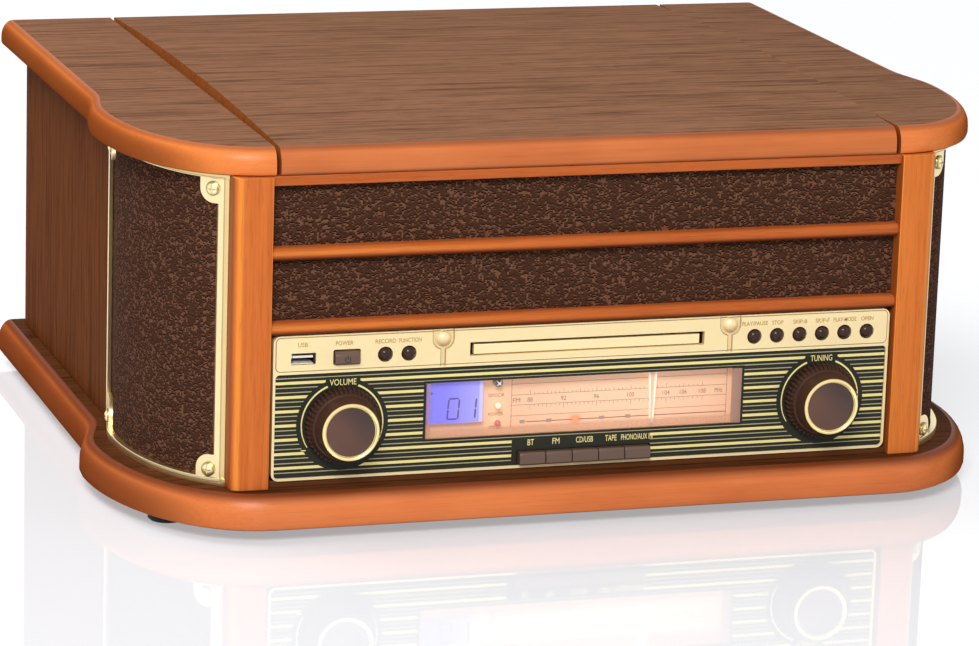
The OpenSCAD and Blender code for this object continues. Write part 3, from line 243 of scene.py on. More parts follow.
class Finish:
    """One material under construction, with its Principled shader."""

    def __init__(self, name):
        self.material = bpy.data.materials.new(name)
        self.material.use_nodes = True
        self.tree = self.material.node_tree
        self.shader = self.tree.nodes["Principled BSDF"]

    def node(self, kind, settings=None, *terms, **named):
        """Adds a node, sets its settings first and then the values or links of its sockets."""
        made = self.tree.nodes.new(kind)
        for key, setting in (settings or {}).items():
            setattr(made, key, setting)
        for key, term in [*enumerate(terms), *named.items()]:
            socket = made.inputs[key.replace("_", " ") if isinstance(key, str) else key]
            self.plug(socket, term)
        return made

    def plug(self, socket, term):
        if isinstance(term, Shade):
            term = term.socket
        if isinstance(term, bpy.types.NodeSocket):
            self.tree.links.new(term, socket)
        elif socket.type == "RGBA" and len(term) == 3:
            socket.default_value = (*term, 1.0)
        else:
            socket.default_value = term

    def value(self, kind, settings, *terms):
        return Shade(self, self.node(kind, settings, *terms).outputs[0])

    def place(self):
        """Object coordinates in millimetres as three numbers."""
        if not hasattr(self, "axes"):
            point = self.node("ShaderNodeTexCoord").outputs["Object"]
            self.vector = self.node("ShaderNodeVectorMath", {"operation": "SCALE"}, point,
                                    Scale=1000.0).outputs[0]
            split = self.node("ShaderNodeSeparateXYZ", None, self.vector)
            self.axes = [Shade(self, out) for out in split.outputs]
        return self.axes

    def facing(self):
        """The surface's own normal as three numbers."""
        normal = self.node("ShaderNodeTexCoord").outputs["Normal"]
        return [Shade(self, out) for out in self.node("ShaderNodeSeparateXYZ", None, normal).outputs]

    def spread(self):
        """The piece's own UV map, in millimetres, as two numbers."""
        uv = self.node("ShaderNodeUVMap", {"uv_map": "cloth"}).outputs[0]
        split = self.node("ShaderNodeSeparateXYZ", None, uv)
        return [Shade(self, out) * 1000.0 for out in split.outputs[:2]]

    def join(self, x, y):
        return self.node("ShaderNodeCombineXYZ", None, x, y).outputs[0]

    def noise(self, stretch, detail=3.0, roughness=0.55):
        """Noise from 0 to 1 whose cells are 1 / stretch millimetres along X, Y and Z."""
        self.place()
        point = self.node("ShaderNodeVectorMath", {"operation": "MULTIPLY"}, self.vector,
                          stretch).outputs[0]
        made = self.node("ShaderNodeTexNoise", None, Vector=point, Scale=1.0, Detail=detail,
                         Roughness=roughness)
        return Shade(self, made.outputs[0])

    def speck(self, each, detail=2, roughness=0.55):
        """Noise with the same stretch along all three axes."""
        return self.noise((each, each, each), detail, roughness)

    def blend(self, share, first, second):
        """Colour from first to second as share goes from 0 to 1."""
        made = self.node("ShaderNodeMix", {"data_type": "RGBA"})
        self.plug(made.inputs[0], share)
        self.plug(made.inputs[6], first)
        self.plug(made.inputs[7], second)
        return made.outputs[2]

    def bump(self, height, depth_mm, under=None):
        """Normal of a surface that is depth_mm high where height is 1."""
        made = self.node("ShaderNodeBump", None, Strength=1.0, Distance=depth_mm * MM, Height=height)
        if under is not None:
            self.plug(made.inputs["Normal"], under)
        return made.outputs[0]

    def paint(self, **sockets):
        """Sets the shader's sockets by name and gives the material."""
        for key, term in sockets.items():
            self.plug(self.shader.inputs[key.replace("_", " ")], term)
        return self.material


def once(make):
    """Keeps the first material that a finish function makes."""
    kept = {}

    def get(*words):
        if words not in kept:
            kept[words] = make(*words)
        return kept[words]

    return get


# ---- Mesh helpers ----
def add_piece(name, mesh, body, finish, replaces=()):
    """Links a mesh as a piece that rides on a body, with its finish in its only material slot."""
    piece = bpy.data.objects.new(name, mesh)
    bpy.context.scene.collection.objects.link(piece)
    mesh.materials.clear()
    mesh.materials.append(finish)
    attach(piece, body)
    if replaces:
        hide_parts(*replaces)
    return piece


def surfaced(node, finish, round_edge=0.0, angle=32.0):
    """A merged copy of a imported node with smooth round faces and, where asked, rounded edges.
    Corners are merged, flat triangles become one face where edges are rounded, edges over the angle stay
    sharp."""
    nearest, flat = 0.002 * MM, math.radians(0.4)
    mesh = NODES[node].data.copy()
    work = bmesh.new()
    work.from_mesh(mesh)
    bmesh.ops.remove_doubles(work, verts=work.verts, dist=nearest)
    limit = math.radians(angle)
    if round_edge:
        bmesh.ops.dissolve_limit(work, angle_limit=flat, verts=work.verts, edges=work.edges)
    for face in work.faces:
        face.smooth = True
    for edge in work.edges:
        edge.smooth = len(edge.link_faces) == 2 and edge.calc_face_angle(0.0) < limit
    work.to_mesh(mesh)
    work.free()
    piece = add_piece(node + "_finished", mesh, NODES[node]["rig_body"], finish, replaces=(node,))
    if round_edge:
        bevel = piece.modifiers.new("round", "BEVEL")
        bevel.width = round_edge
        bevel.segments = 2
        bevel.limit_method = "ANGLE"
        bevel.angle_limit = limit
        bevel.harden_normals = False
    return piece


def grid_mesh(name, points, closed_u=False, closed_v=False, uv=None):
    """Mesh of a surface of two parameters: points[i, j] is the place at step i of u and j of v.
    Faces turn from u towards v, so the outside is where u cross v points."""
    rows, columns = points.shape[:2]
    index = np.arange(rows * columns).reshape(rows, columns)
    a = index if closed_u else index[:-1]
    b = np.roll(index, -1, 0) if closed_u else index[1:]
    if closed_v:
        quads = np.stack([a, b, np.roll(b, -1, 1), np.roll(a, -1, 1)], -1)
    else:
        quads = np.stack([a[:, :-1], b[:, :-1], b[:, 1:], a[:, 1:]], -1)
    quads = quads.reshape(-1, 4)
    mesh = bpy.data.meshes.new(name)
    mesh.from_pydata(points.reshape(-1, 3), [], quads)
    mesh.shade_smooth()
    if uv is not None:
        layer = mesh.uv_layers.new(name="cloth")
        layer.data.foreach_set("uv", uv.reshape(-1, 2)[quads.reshape(-1)].ravel())
    return mesh


def box_mesh(name, lows, highs):
    """Mesh of many boxes from arrays of their lowest and highest corners."""
    lows, highs = np.atleast_2d(lows), np.atleast_2d(highs)
    pick = np.array([[x, y, z] for z in (0, 1) for y in (0, 1) for x in (0, 1)])
    corners = np.where(pick[None], highs[:, None], lows[:, None])
    faces = np.array([[0, 2, 3, 1], [4, 5, 7, 6], [0, 1, 5, 4],
                      [2, 6, 7, 3], [0, 4, 6, 2], [1, 3, 7, 5]])
    all_faces = (faces[None] + 8 * np.arange(len(lows))[:, None, None]).reshape(-1, 4)
    mesh = bpy.data.meshes.new(name)
    mesh.from_pydata(corners.reshape(-1, 3), [], all_faces)
    return mesh


def joined(name, meshes):
    """One mesh from several."""
    work = bmesh.new()
    for part in meshes:
        work.from_mesh(part)
        bpy.data.meshes.remove(part)
    mesh = bpy.data.meshes.new(name)
    work.to_mesh(mesh)
    work.free()
    return mesh


def add_print(name, parts, finish, body="cabinet"):
    """Adds several meshes as one piece."""
    add_piece(name, joined(name, parts), body, finish)


def words_mesh(text, x, z, height, front, raise_by, width=None, bold=0.0):
    """Mesh of a line of capitals that faces the front. Its middle is at x and z, its back at depth
    front. The letters are as tall as height, and the line is as long as width where that is given."""
    half_thick, narrow = 0.05, 0.86
    curve = bpy.data.curves.new(text, "FONT")
    curve.body = text
    curve.align_x = "CENTER"
    curve.align_y = "CENTER"
    curve.offset = bold
    curve.extrude = half_thick
    curve.resolution_u = 3
    typed = bpy.data.objects.new(text, curve)
    bpy.context.scene.collection.objects.link(typed)
    bpy.context.view_layer.update()
    mesh = bpy.data.meshes.new_from_object(typed.evaluated_get(bpy.context.evaluated_depsgraph_get()))
    bpy.data.objects.remove(typed)
    bpy.data.curves.remove(curve)
    place = np.empty(len(mesh.vertices) * 3)
    mesh.vertices.foreach_get("co", place)
    place = place.reshape(-1, 3)
    low, high = place.min(0), place.max(0)
    tall = height / (high[1] - low[1])
    wide = width / (high[0] - low[0]) if width else tall * narrow
    middle = (low + high) / 2
    mesh.transform(Matrix(((wide, 0, 0, x - wide * middle[0]),
                           (0, 0, -raise_by / (2 * half_thick), front - raise_by / 2),
                           (0, tall, 0, z - tall * middle[1]), (0, 0, 0, 1))))
    return mesh


def ring_mesh(name, x, z, mid, width, start, end, front, raise_by, steps=48):
    """Flat ring sector that faces the front: angle along u, and v runs round its rectangular section.
    Its width goes evenly from width[0] to width[1] along the way."""
    angle = np.radians(np.linspace(start, end, steps))[:, None]
    half = np.linspace(width[0], width[1], steps)[:, None] / 2
    radius = mid + half * np.array([-1, 1, 1, -1])[None]
    depth = np.array([front, front, front - raise_by, front - raise_by])[None]
    points = np.stack([x + radius * np.cos(angle), depth + 0 * angle, z + radius * np.sin(angle)], -1)
    mesh = grid_mesh(name, points, closed_v=True)
    work = bmesh.new()
    work.from_mesh(mesh)
    bmesh.ops.holes_fill(work, edges=work.edges)
    bmesh.ops.recalc_face_normals(work, faces=work.faces)
    for face in work.faces:
        face.smooth = False
    work.to_mesh(mesh)
    work.free()
    return mesh


def turned_mesh(name, x, z, profile, steps=40):
    """Closed section of radius and depth turned about an axis that faces the front: angle along u."""
    angle = np.linspace(0, math.tau, steps, endpoint=False)[:, None]
    points = np.stack([x + profile[None, :, 0] * np.cos(angle), profile[None, :, 1] + 0 * angle,
                       z + profile[None, :, 0] * np.sin(angle)], -1)
    return grid_mesh(name, points, closed_u=True, closed_v=True)


# ---- Woods ----
def grain(finish, along, spacing=7.0):
    """Growth lines, fine streaks, pores and figure that run along one axis, each 0 to 1. A growth line
    is the end of a whole turn of the way across plus a slow noise. The others are noises drawn out along
    the grain."""
    x, y, z = finish.place()
    across = y + z * 0.8 if along == "X" else x + y * 0.6

    def stretched(slow, fast, detail, roughness=0.55):
        return finish.noise([slow if axis == along else fast for axis in "XYZ"], detail, roughness)

    sway = stretched(0.0035, 0.022, 3.0)
    turn = (across / spacing + sway * 11.0).repeat(1.0)
    lines = (turn ** 3.0) * (1.0 - turn.ramp(0.93, 1.0))
    streak = stretched(0.010, 0.45, 5.0, 0.7)
    pore = stretched(0.055, 1.5, 2.0, 0.6).ramp(0.54, 0.68)
    figure = stretched(0.014, 0.24, 3.0, 0.62).ramp(0.44, 0.72)
    return lines, streak, pore, figure


def deepened(colour, red, green, blue):
    """A colour with each channel multiplied by its own factor."""
    return tuple(v * f for v, f in zip(colour, (red, green, blue)))


def lacquered(finish, colour, streak, pore, coat):
    """Paints a finish as lacquer with faint streaks and filled pores."""
    return finish.paint(Base_Color=colour, Roughness=streak * 0.12 + 0.3, Specular_IOR_Level=0.06,
                        Coat_Weight=coat, Coat_Roughness=0.25,
                        Normal=finish.bump(streak * 0.6 - pore * 0.6, 0.02))


@once
def railed():
    """Lacquer of the rails, with a painted highlight over their rounded tops that is stronger at the left
    and painted shade where they turn down. The strip under the fascia is painted in the colour of its
    shadow."""
    looks = bpy.context.scene.cabinet_looks
    finish = Finish("rail")
    _, streak, pore, figure = grain(finish, "X", 9.0)
    x, _, z = finish.place()
    warm = looks.rail
    rise = finish.facing()[2]
    half_span = 170.0
    # Painted highlight over the rails' rounded tops, stronger to the left where the light falls.
    leftward = (x / half_span).ramp(0.3, -1.0)
    crown_highlight = abs(rise - 0.2).ramp(0.55, 0.1) * leftward * (z < CLOTH_TOP / MM - 1)
    ground = finish.blend(figure * 0.3 + (streak - 0.5) * 1.2 + 0.1, warm,
                          deepened(warm, 0.62, 0.46, 0.34))
    lit = finish.blend(crown_highlight * 0.4, ground, looks.thin_stain)
    # Painted shade where the rails turn down.
    turned = (rise * -1.0).ramp(0.05, 0.8)
    toned = finish.blend(turned * 0.85, finish.blend(pore * 0.2, lit, looks.pore),
                         deepened(warm, 0.22, 0.15, 0.12))
    # Painted shadow: the strip under the fascia takes the colour of its shade.
    strip_shadowed = finish.blend(z < FASCIA_LOW[2] / MM + 0.2, toned, looks.strip)
    return lacquered(finish, strip_shadowed, streak, pore, 0.12)


@once
def posted():
    """Lacquer of the posts, with a painted highlight over the rounded edges, painted light on the
    right-hand post and painted shade where the edges turn fully sideways.
    """
    looks = bpy.context.scene.cabinet_looks
    finish = Finish("posted")
    x = finish.place()[0]
    lines, streak, pore, figure = grain(finish, "Z", 9.0)
    warm = looks.lacquer
    side = abs(finish.facing()[0])
    # Painted highlight over the posts' rounded edges.
    edge_highlight = side.ramp(0.22, 0.5) * side.ramp(0.84, 0.62)
    # Painted light: the right-hand post is made lighter, most at its inner side.
    right = (x > 0.0) * ((x - KNOB_X / MM) / 60.0).ramp(1.3, 0.0)
    ground = finish.blend(figure * 0.3 + lines * 0.15 + (streak - 0.5) * 1.4 + 0.08, warm,
                          deepened(warm, 0.66, 0.5, 0.4))
    lighter = finish.blend(edge_highlight.high(right * 0.75) * 0.78, ground, looks.thin_stain)
    # Painted shade where the posts' edges turn fully sideways.
    toned = finish.blend(side.ramp(0.8, 0.98) * 0.6, lighter, deepened(warm, 0.3, 0.18, 0.1))
    return lacquered(finish, finish.blend(pore * 0.18, toned, looks.pore), streak, pore, 0.14)


@once
def veneered(along, tone):
    """Open-pored satin veneer whose grain runs along an axis."""
    looks = bpy.context.scene.cabinet_looks
    finish = Finish(f"{tone}_{along}")
    lines, streak, pore, figure = grain(finish, along)
    light = getattr(looks, tone)
    ground = finish.blend(lines * 0.3 + figure * 0.55 + (streak - 0.5) * 2.2 + 0.1, light,
                          deepened(light, 0.5, 0.44, 0.38))
    toned = finish.blend(pore * 0.35, ground, looks.pore)
    return finish.paint(Base_Color=toned, Roughness=streak * 0.15 + 0.42, Specular_IOR_Level=0.0,
                        Coat_Weight=0.05, Coat_Roughness=0.35,
                        Normal=finish.bump(streak * 0.4 - pore, 0.05))


@once
def moulded(top, edge_tone="edge", top_tone="veneer", top_darkening=0.6, sawn_ends=False):
    """Veneer on the flat top at a height and lacquer on the moulded edge below it. The edge is darker
    where it curves up to meet the top, by the share top_darkening, and painted shade darkens it
    underneath and on the sides. A board's upright ends are sawn wood where asked."""
    looks = bpy.context.scene.cabinet_looks
    finish = Finish(f"moulded_{edge_tone}")
    lines, streak, pore, figure = grain(finish, "X")
    slack = 0.06
    on_top = finish.place()[2] > top / MM - slack
    side_way, _, rise = finish.facing()
    side = abs(side_way).ramp(0.5, 1.0)
    warm, flat = getattr(looks, edge_tone), getattr(looks, top_tone)
    cloud = finish.noise((0.012, 0.012, 0.03), 2.0)
    edge = finish.blend((cloud - 0.4) * 1.8 + (streak - 0.5) * 0.9 + 0.1, warm,
                        deepened(warm, 0.72, 0.6, 0.5))
    meeting = rise.ramp(0.92 - top_darkening * 0.65, 0.92) * top_darkening
    # Painted shade underneath the moulded edge and, with side, on the board's ends.
    shade_beneath = (rise * -1.0).ramp(0.15, 0.95) * 0.55
    edge = finish.blend(meeting.high(shade_beneath).high(side * 0.8), edge, deepened(warm, 0.22, 0.16, 0.14))
    veneer = finish.blend(lines * 0.35 + figure * 0.75 + (streak - 0.5) * 2.6, flat,
                          deepened(flat, 0.44, 0.4, 0.38))
    ground = finish.blend(on_top, edge, veneer)
    toned = finish.blend(pore * (on_top * 0.4 + 0.08), ground, looks.pore)
    if sawn_ends:
        sawn = finish.blend(figure * 0.5 + streak * 0.3, looks.lid_end,
                            deepened(looks.lid_end, 0.5, 0.45, 0.4))
        toned = finish.blend(abs(side_way) > 0.8, toned, sawn)
    gloss = (1.0 - on_top) * abs(side_way).ramp(0.7, 0.15) * 0.45
    return finish.paint(Base_Color=toned, Roughness=on_top * 0.1 + streak * 0.06 + 0.32,
                        Specular_IOR_Level=0.0, Coat_Weight=gloss + on_top * 0.05, Coat_Roughness=0.34,
                        Normal=finish.bump((streak * 0.4 - pore * 0.8) * (on_top * 0.8 + 0.2), 0.04))


@once
def fibreboard():
    """Plain brown board of the back and the baffles."""
    finish = Finish("fibreboard")
    speck = finish.speck(1.4, 6, 0.75)
    ground = finish.blend(speck.ramp(0.35, 0.7), rgb(118, 84, 56), rgb(76, 52, 35))
    return finish.paint(Base_Color=ground, Roughness=0.8, Normal=finish.bump(speck, 0.08))


# ---- Metals and plastics ----
@once
def metal(name, colour, rough, brushed):
    """Plated or drawn metal with faint marks along one axis."""
    finish = Finish(name)
    stretch = [0.03 if axis == brushed else 3.0 for axis in "XYZ"]
    marks = finish.noise(stretch, detail=3)
    cloud = finish.speck(0.05, 3)
    tone = finish.blend(cloud, colour, deepened(colour, 0.84, 0.8, 0.74))
    return finish.paint(Base_Color=tone, Metallic=1.0,
                        Roughness=marks * 0.14 + cloud * 0.06 + rough - 0.08,
                        Normal=finish.bump(marks, 0.004))


@once
def brassed():
    """Satin brass of the grille frames, with painted shade on the flange outside a painted shadow line."""
    looks = bpy.context.scene.cabinet_looks
    finish = Finish("brassed")
    x, _, z = finish.place()
    fine, cloud = finish.speck(2.2), finish.speck(0.05, 3)
    inward = (abs(x) - PILLAR_X / MM).low(z - GRILLE_LOW[2] / MM).low(GRILLE_HIGH[2] / MM - z)
    flange = inward < FLANGE / MM
    line_half = 0.28
    line = abs(inward - FLANGE / MM) < line_half
    brass = looks.brass
    tone = finish.blend(cloud, brass, deepened(brass, 0.86, 0.82, 0.76))
    # Painted shade on the flange, which curves back from the light.
    shaded_flange = finish.blend(flange * 0.75, tone, deepened(brass, 0.72, 0.62, 0.46))
    # Painted shadow along the fine line where the flange steps down.
    toned = finish.blend(line * 0.6, shaded_flange, deepened(brass, 0.3, 0.24, 0.12))
    return finish.paint(Base_Color=toned, Metallic=1.0, Roughness=fine * 0.06 + cloud * 0.06 + 0.26,
                        Specular_IOR_Level=0.3,
                        Normal=finish.bump(fine * 0.1 - line - flange * 0.5, 0.03))


@once
def screw_brass():
    """Brass of the domed screws, with painted shade round the rim of each head. The rim is where a head
    faces away from its own axis, which points 41.9 degrees outwards at the front and sideways behind."""
    looks = bpy.context.scene.cabinet_looks
    finish = Finish("screw_brass")
    y = finish.place()[1]
    side_way, front_way, _ = finish.facing()
    behind, outward, forward = FACE_Y / MM + 60, 0.667, 0.744
    front = abs(side_way) * outward - front_way * forward
    level = front * (y < behind) + abs(side_way) * (y > behind)
    # Painted shade where each head's dome turns away.
    rim = level.ramp(0.92, 0.84)
    brass = looks.brass
    fine = finish.speck(2.2)
    tone = finish.blend(rim, brass, deepened(brass, 0.3, 0.3, 0.16))
    return finish.paint(Base_Color=tone, Metallic=0.85, Roughness=fine * 0.1 + 0.3,
                        Normal=finish.bump(fine, 0.003))


@once
def plastic(name, colour, rough, grainy):
    """Moulded plastic with a fine spark texture."""
    finish = Finish(name)
    spark = finish.speck(3.2)
    cloud = finish.speck(0.04, 3)
    tone = finish.blend(cloud, colour, deepened(colour, 0.78, 0.78, 0.78))
    return finish.paint(Base_Color=tone, Roughness=spark * 0.12 + rough - 0.06,
                        Normal=finish.bump(spark, grainy))


@once
def gold_panel():
    """Pale gold satin lacquer of the fascia, with fine dark lines of painted shade along the edges of the
    raised plates and the grooves, painted shade in the recesses and painted shade and reflection on the
    lower half of each dome. An edge line is where the distance from the rounded outline of a plate or
    groove is small."""
    looks = bpy.context.scene.fascia_looks
    finish = Finish("gold_panel")
    x, y, z = finish.place()
    cloud = finish.noise((0.02, 0.02, 0.05), detail=2)
    fine = finish.speck(2.6)
    gold = looks.gold
    tone = finish.blend(cloud, gold, deepened(gold, 0.93, 0.91, 0.88))
    depth, shallow, deep, edge_shade_half = y - BAND_Y / MM, 0.55, 2.2, 0.23
    sunk = (depth > shallow) * (depth < deep)
    over_band = (depth < deep) * (z > BAND_Z / MM + 0.3) * (finish.facing()[1] < -0.5)
    beside, up = abs(abs(x) - DOME_X / MM), z - DOME_Z / MM
    half = GROOVE_HALF / MM + (up > 0.0) * ((GROOVE_R - GROOVE_HALF) / MM)
    from_groove = ((beside ** 2.0 + up ** 2.0) ** 0.5 - GROOVE_R / MM).low(beside - half)
    across = (abs(x) - (PLATE_HALF[0] - PLATE_ROUND) / MM).high(0.0)
    upward = (abs(z - PLATE_MID / MM) - (PLATE_HALF[1] - PLATE_ROUND) / MM).high(0.0)
    from_plate = (across ** 2.0 + upward ** 2.0) ** 0.5 - PLATE_ROUND / MM
    # Painted shade along the edges of the raised plates and the grooves.
    edge_shade = abs(from_groove).low(abs(from_plate)) < edge_shade_half
    # Painted shade in the recesses behind the band.
    recess_shaded = finish.blend(sunk * 0.2, tone, rgb(150, 112, 66))
    on_dome = (beside ** 2.0 + up ** 2.0 < (DOME_R / MM) ** 2) * (depth < -0.1)
    # Painted shade and reflection on the lower half of each dome.
    domed = finish.blend(on_dome * up.ramp(1.5, -3.5) * 0.45, recess_shaded, rgb(196, 132, 72))
    toned = finish.blend(edge_shade * over_band * 0.85, domed, rgb(104, 70, 34))
    return finish.paint(Base_Color=toned, Metallic=0.2, Roughness=fine * 0.08 + 0.34,
                        Specular_IOR_Level=0.2, Normal=finish.bump(fine, 0.006))


@once
def rubber():
    """Matt black rubber."""
    finish = Finish("rubber")
    spark = finish.speck(1.8, 4)
    tone = finish.blend(spark, rgb(28, 28, 28), rgb(16, 16, 16))
    return finish.paint(Base_Color=tone, Roughness=spark * 0.2 + 0.62, Normal=finish.bump(spark, 0.05))


# ---- Dial print ----
@once
def striped():
    """Dark dial plate with a thick gold stripe each pitch and two thin ones between, which stop
    round the knobs' discs and words, the window and the block of keys."""
    looks = bpy.context.scene.fascia_looks
    finish = Finish("striped")
    x, _, z = finish.place()
    pitch, thick, thin = looks.pitch / MM, looks.thick / MM, looks.thin / MM
    below = z - STRIPE_TOP / MM
    bold = abs((below + pitch / 2).repeat(pitch) - pitch / 2) < thick / 2
    third = below.repeat(pitch / 3)
    fine = abs(third - pitch / 6) > pitch / 6 - thin / 2
    knob_x, knob_z, disc = KNOB_X / MM, KNOB_Z / MM, DISC_R / MM
    away = ((abs(x) - knob_x) ** 2.0 + (z - knob_z) ** 2.0) > disc ** 2
    beside, over, top_rim, low_rim, keys_x, word_half, word_top = 1.6, 1.4, 1.4, 1.2, -1.5, 9.6, 85.6
    half = (WINDOW_HIGH[2] - WINDOW_LOW[2]) / 2 / MM + over
    window = (abs(x) > WINDOW_HIGH[0] / MM + beside).high(abs(z - WINDOW_MID / MM) > half)
    keys = (abs(x - keys_x) > KEY_BLOCK_X / MM).high(z > KEY_BLOCK_TOP / MM)
    front = finish.facing()[1] < -0.7
    word = (abs(abs(x) - knob_x) > word_half).high(z < knob_z).high(z > word_top)
    inside = (z < PLATE_HIGH[2] / MM - top_rim) * (z > PLATE_LOW[2] / MM + low_rim)
    shown = away * window * keys * word * front * inside
    gold = bold * shown
    line = fine * shown * (1.0 - bold)
    speck = finish.speck(2.4)
    lined = finish.blend(line, looks.ground, looks.thin_stripe)
    tone = finish.blend(gold, lined, looks.stripe)
    return finish.paint(Base_Color=tone, Metallic=gold * 0.3, Roughness=0.46 - gold * 0.14,
                        Specular_IOR_Level=0.16,
                        Normal=finish.bump(gold + line * 0.4 + speck * 0.05, 0.08))


@once
def dial_card():
    """Peach card of the dial, lit from behind, a little brighter at its middle."""
    looks = bpy.context.scene.fascia_looks
    finish = Finish("dial_card")
    x, _, z = finish.place()
    middle, reach = 20.0, 70.0
    glow = (abs(x - middle) / reach).ramp(1.4, 0.0)
    peach = looks.peach
    ground = finish.blend(glow, deepened(peach, 0.86, 0.8, 0.76), peach)
    away = ((x - LIT_X / MM) ** 2.0 + ((z - LIT_Z / MM) * 1.3) ** 2.0) ** 0.5
    lit = finish.blend(away.ramp(5.4, 1.2) * 0.9, ground, rgb(252, 150, 108))
    by_lamps = ((abs(x - LAMP_X / MM) / 12.0).ramp(1.0, 0.0)) * 0.35
    tone = finish.blend(by_lamps, lit, rgb(255, 206, 160))
    return finish.paint(Base_Color=tone, Roughness=0.6, Emission_Color=tone, Emission_Strength=0.3,
                        Specular_IOR_Level=0.2)


@once
def display():
    """Blue-violet backlight, paler to the right and in a strip at its right-hand edge. The three lamps
    beside it are a dark lens with a painted cross-shaped highlight, a cream one and a red one, in peach
    holders."""
    finish = Finish("display")
    x, y, z = finish.place()
    left, wide, strip_left, strip_top = -92.0, 36.0, -59.2, WINDOW_MID / MM + 14.6
    pale = ((x - left) / wide).ramp(0.3, 1.0)
    blue = finish.blend(pale, rgb(116, 112, 236), rgb(150, 150, 246))
    strip = finish.blend((x > strip_left) * (z < strip_top), blue, rgb(186, 184, 252))
    # Painted highlight: a bright cross on the dark sensor lens.
    cross = abs(abs(x - LAMP_X / MM) - abs(z - SENSOR_Z / MM)) < 0.4
    lens = finish.blend(cross, rgb(84, 78, 76), rgb(232, 228, 222))
    low_lamp = finish.blend(z > WINDOW_MID / MM - 4, rgb(196, 104, 96), rgb(252, 232, 200))
    lamp = finish.blend(z > WINDOW_MID / MM + 8, low_lamp, lens)
    held = finish.blend(y < LAMP_FRONT / MM + 0.4, rgb(240, 196, 164), lamp)
    tone = finish.blend(x > LAMP_X / MM - 4, strip, held)
    return finish.paint(Base_Color=tone, Roughness=0.3, Emission_Color=tone, Emission_Strength=0.36)


@once
def clear():
    """Clear cover with a warm tint, deeper along its lower edge and at both ends, partly from its frosted
    edges and partly painted shade and reflection.
    """
    finish = Finish("clear")
    x, _, z = finish.place()
    left_end, right_end, low_end = -88.2, 85.2, WINDOW_MID / MM - 10.6
    right = x > right_end
    # Bands at the ends and lower edge: partly frosted edges, partly painted shade and reflection.
    band = right.high(z < low_end).high(x < left_end)
    tinted = finish.blend(band, rgb(244, 214, 190), rgb(206, 158, 126))
    tone = finish.blend(right, tinted, rgb(176, 140, 122))
    return finish.paint(Base_Color=tone, Roughness=0.06, Alpha=band * 0.3 + right * 0.35 + 0.04,
                        Specular_IOR_Level=0.3)


@once
def glow():
    """Orange mark lit from behind."""
    finish = Finish("glow")
    x, _, z = finish.place()
    away = ((x - LIT_X / MM) ** 2.0 + (z - LIT_Z / MM) ** 2.0) ** 0.5
    tone = finish.blend(away.ramp(2.2, 0.0), rgb(255, 140, 96), rgb(255, 158, 112))
    return finish.paint(Base_Color=tone, Roughness=0.5, Emission_Color=tone, Emission_Strength=0.45)


@once
def pointer_glass():
    """Ivory blade whose two long edges catch the light."""
    finish = Finish("pointer")
    x, _, z = finish.place()
    middle, foot = centre("dial_pointer", 0) / MM, span("dial_pointer")[0][2] / MM
    taper, foot_half = 0.045, 0.95
    half = (z - foot) * taper + foot_half
    edge = (abs(x - middle) / half).ramp(0.4, 0.72)
    tone = finish.blend(edge, rgb(250, 216, 176), rgb(255, 252, 240))
    return finish.paint(Base_Color=tone, Roughness=0.2, Alpha=edge * 0.6 + 0.35, Emission_Color=tone,
                        Emission_Strength=0.16)


@once
def knob_finish(side):
    """Brown plastic with a gold ring round the knob's face, which is dished by a bump as deep as
    the square of the radius and carries a painted sheen, lighter to the lower left and darker to the
    upper right. The skirt is darker between its ribs."""
    looks = bpy.context.scene.fascia_looks
    finish = Finish(f"knob_{'left' if side < 0 else 'right'}")
    x, y, z = finish.place()
    radius = ((x - side * KNOB_X / MM) ** 2.0 + (z - KNOB_Z / MM) ** 2.0) ** 0.5
    rim_depth = 2.0
    tip = y < KNOB_TIP / MM + rim_depth
    ring = (radius > RING_IN / MM) * (radius < RING_OUT / MM) * tip
    face = (radius < RING_IN / MM) * tip
    turn = (z - KNOB_Z / MM).bearing(x - side * KNOB_X / MM) * (KNURLS / math.tau)
    valley = abs(turn.repeat(1.0) - 0.5).ramp(0.36, 0.1) * (radius > SKIRT_R / MM)
    fine = finish.speck(2.2)
    brown = looks.brown
    # Painted sheen across the face: lighter to the lower left, darker to the upper right.
    sheen = ((x - side * KNOB_X / MM + z - KNOB_Z / MM) / (RING_IN / MM)).ramp(1.3, -0.6)
    face_with_sheen = finish.blend(sheen, deepened(brown, 0.8, 0.76, 0.74), deepened(brown, 1.9, 1.75, 1.6))
    base = finish.blend(face, deepened(brown, 1.05, 0.98, 0.92), face_with_sheen)
    knurled = finish.blend(valley * 0.8, base, deepened(brown, 0.16, 0.14, 0.14))
    tone = finish.blend(ring, knurled, rgb(250, 226, 160))
    dome = finish.bump((radius * radius) * face * -0.02, 1.0)
    return finish.paint(Base_Color=tone, Metallic=ring * 0.85,
                        Roughness=0.36 - face * 0.2 - ring * 0.1 + fine * 0.05,
                        Coat_Weight=face * 0.7, Coat_Roughness=0.3, Specular_IOR_Level=0.16,
                        Normal=finish.bump(fine, 0.004, dome))


@once
def brown_gloss():
    """Brown gloss moulding of the front buttons."""
    looks = bpy.context.scene.fascia_looks
    finish = Finish("brown_gloss")
    fine = finish.speck(2.0)
    brown = looks.brown
    tone = finish.blend(fine, deepened(brown, 0.85, 0.8, 0.8), deepened(brown, 0.68, 0.62, 0.6))
    return finish.paint(Base_Color=tone, Roughness=fine * 0.08 + 0.14, Specular_IOR_Level=0.2,
                        Normal=finish.bump(fine, 0.004))


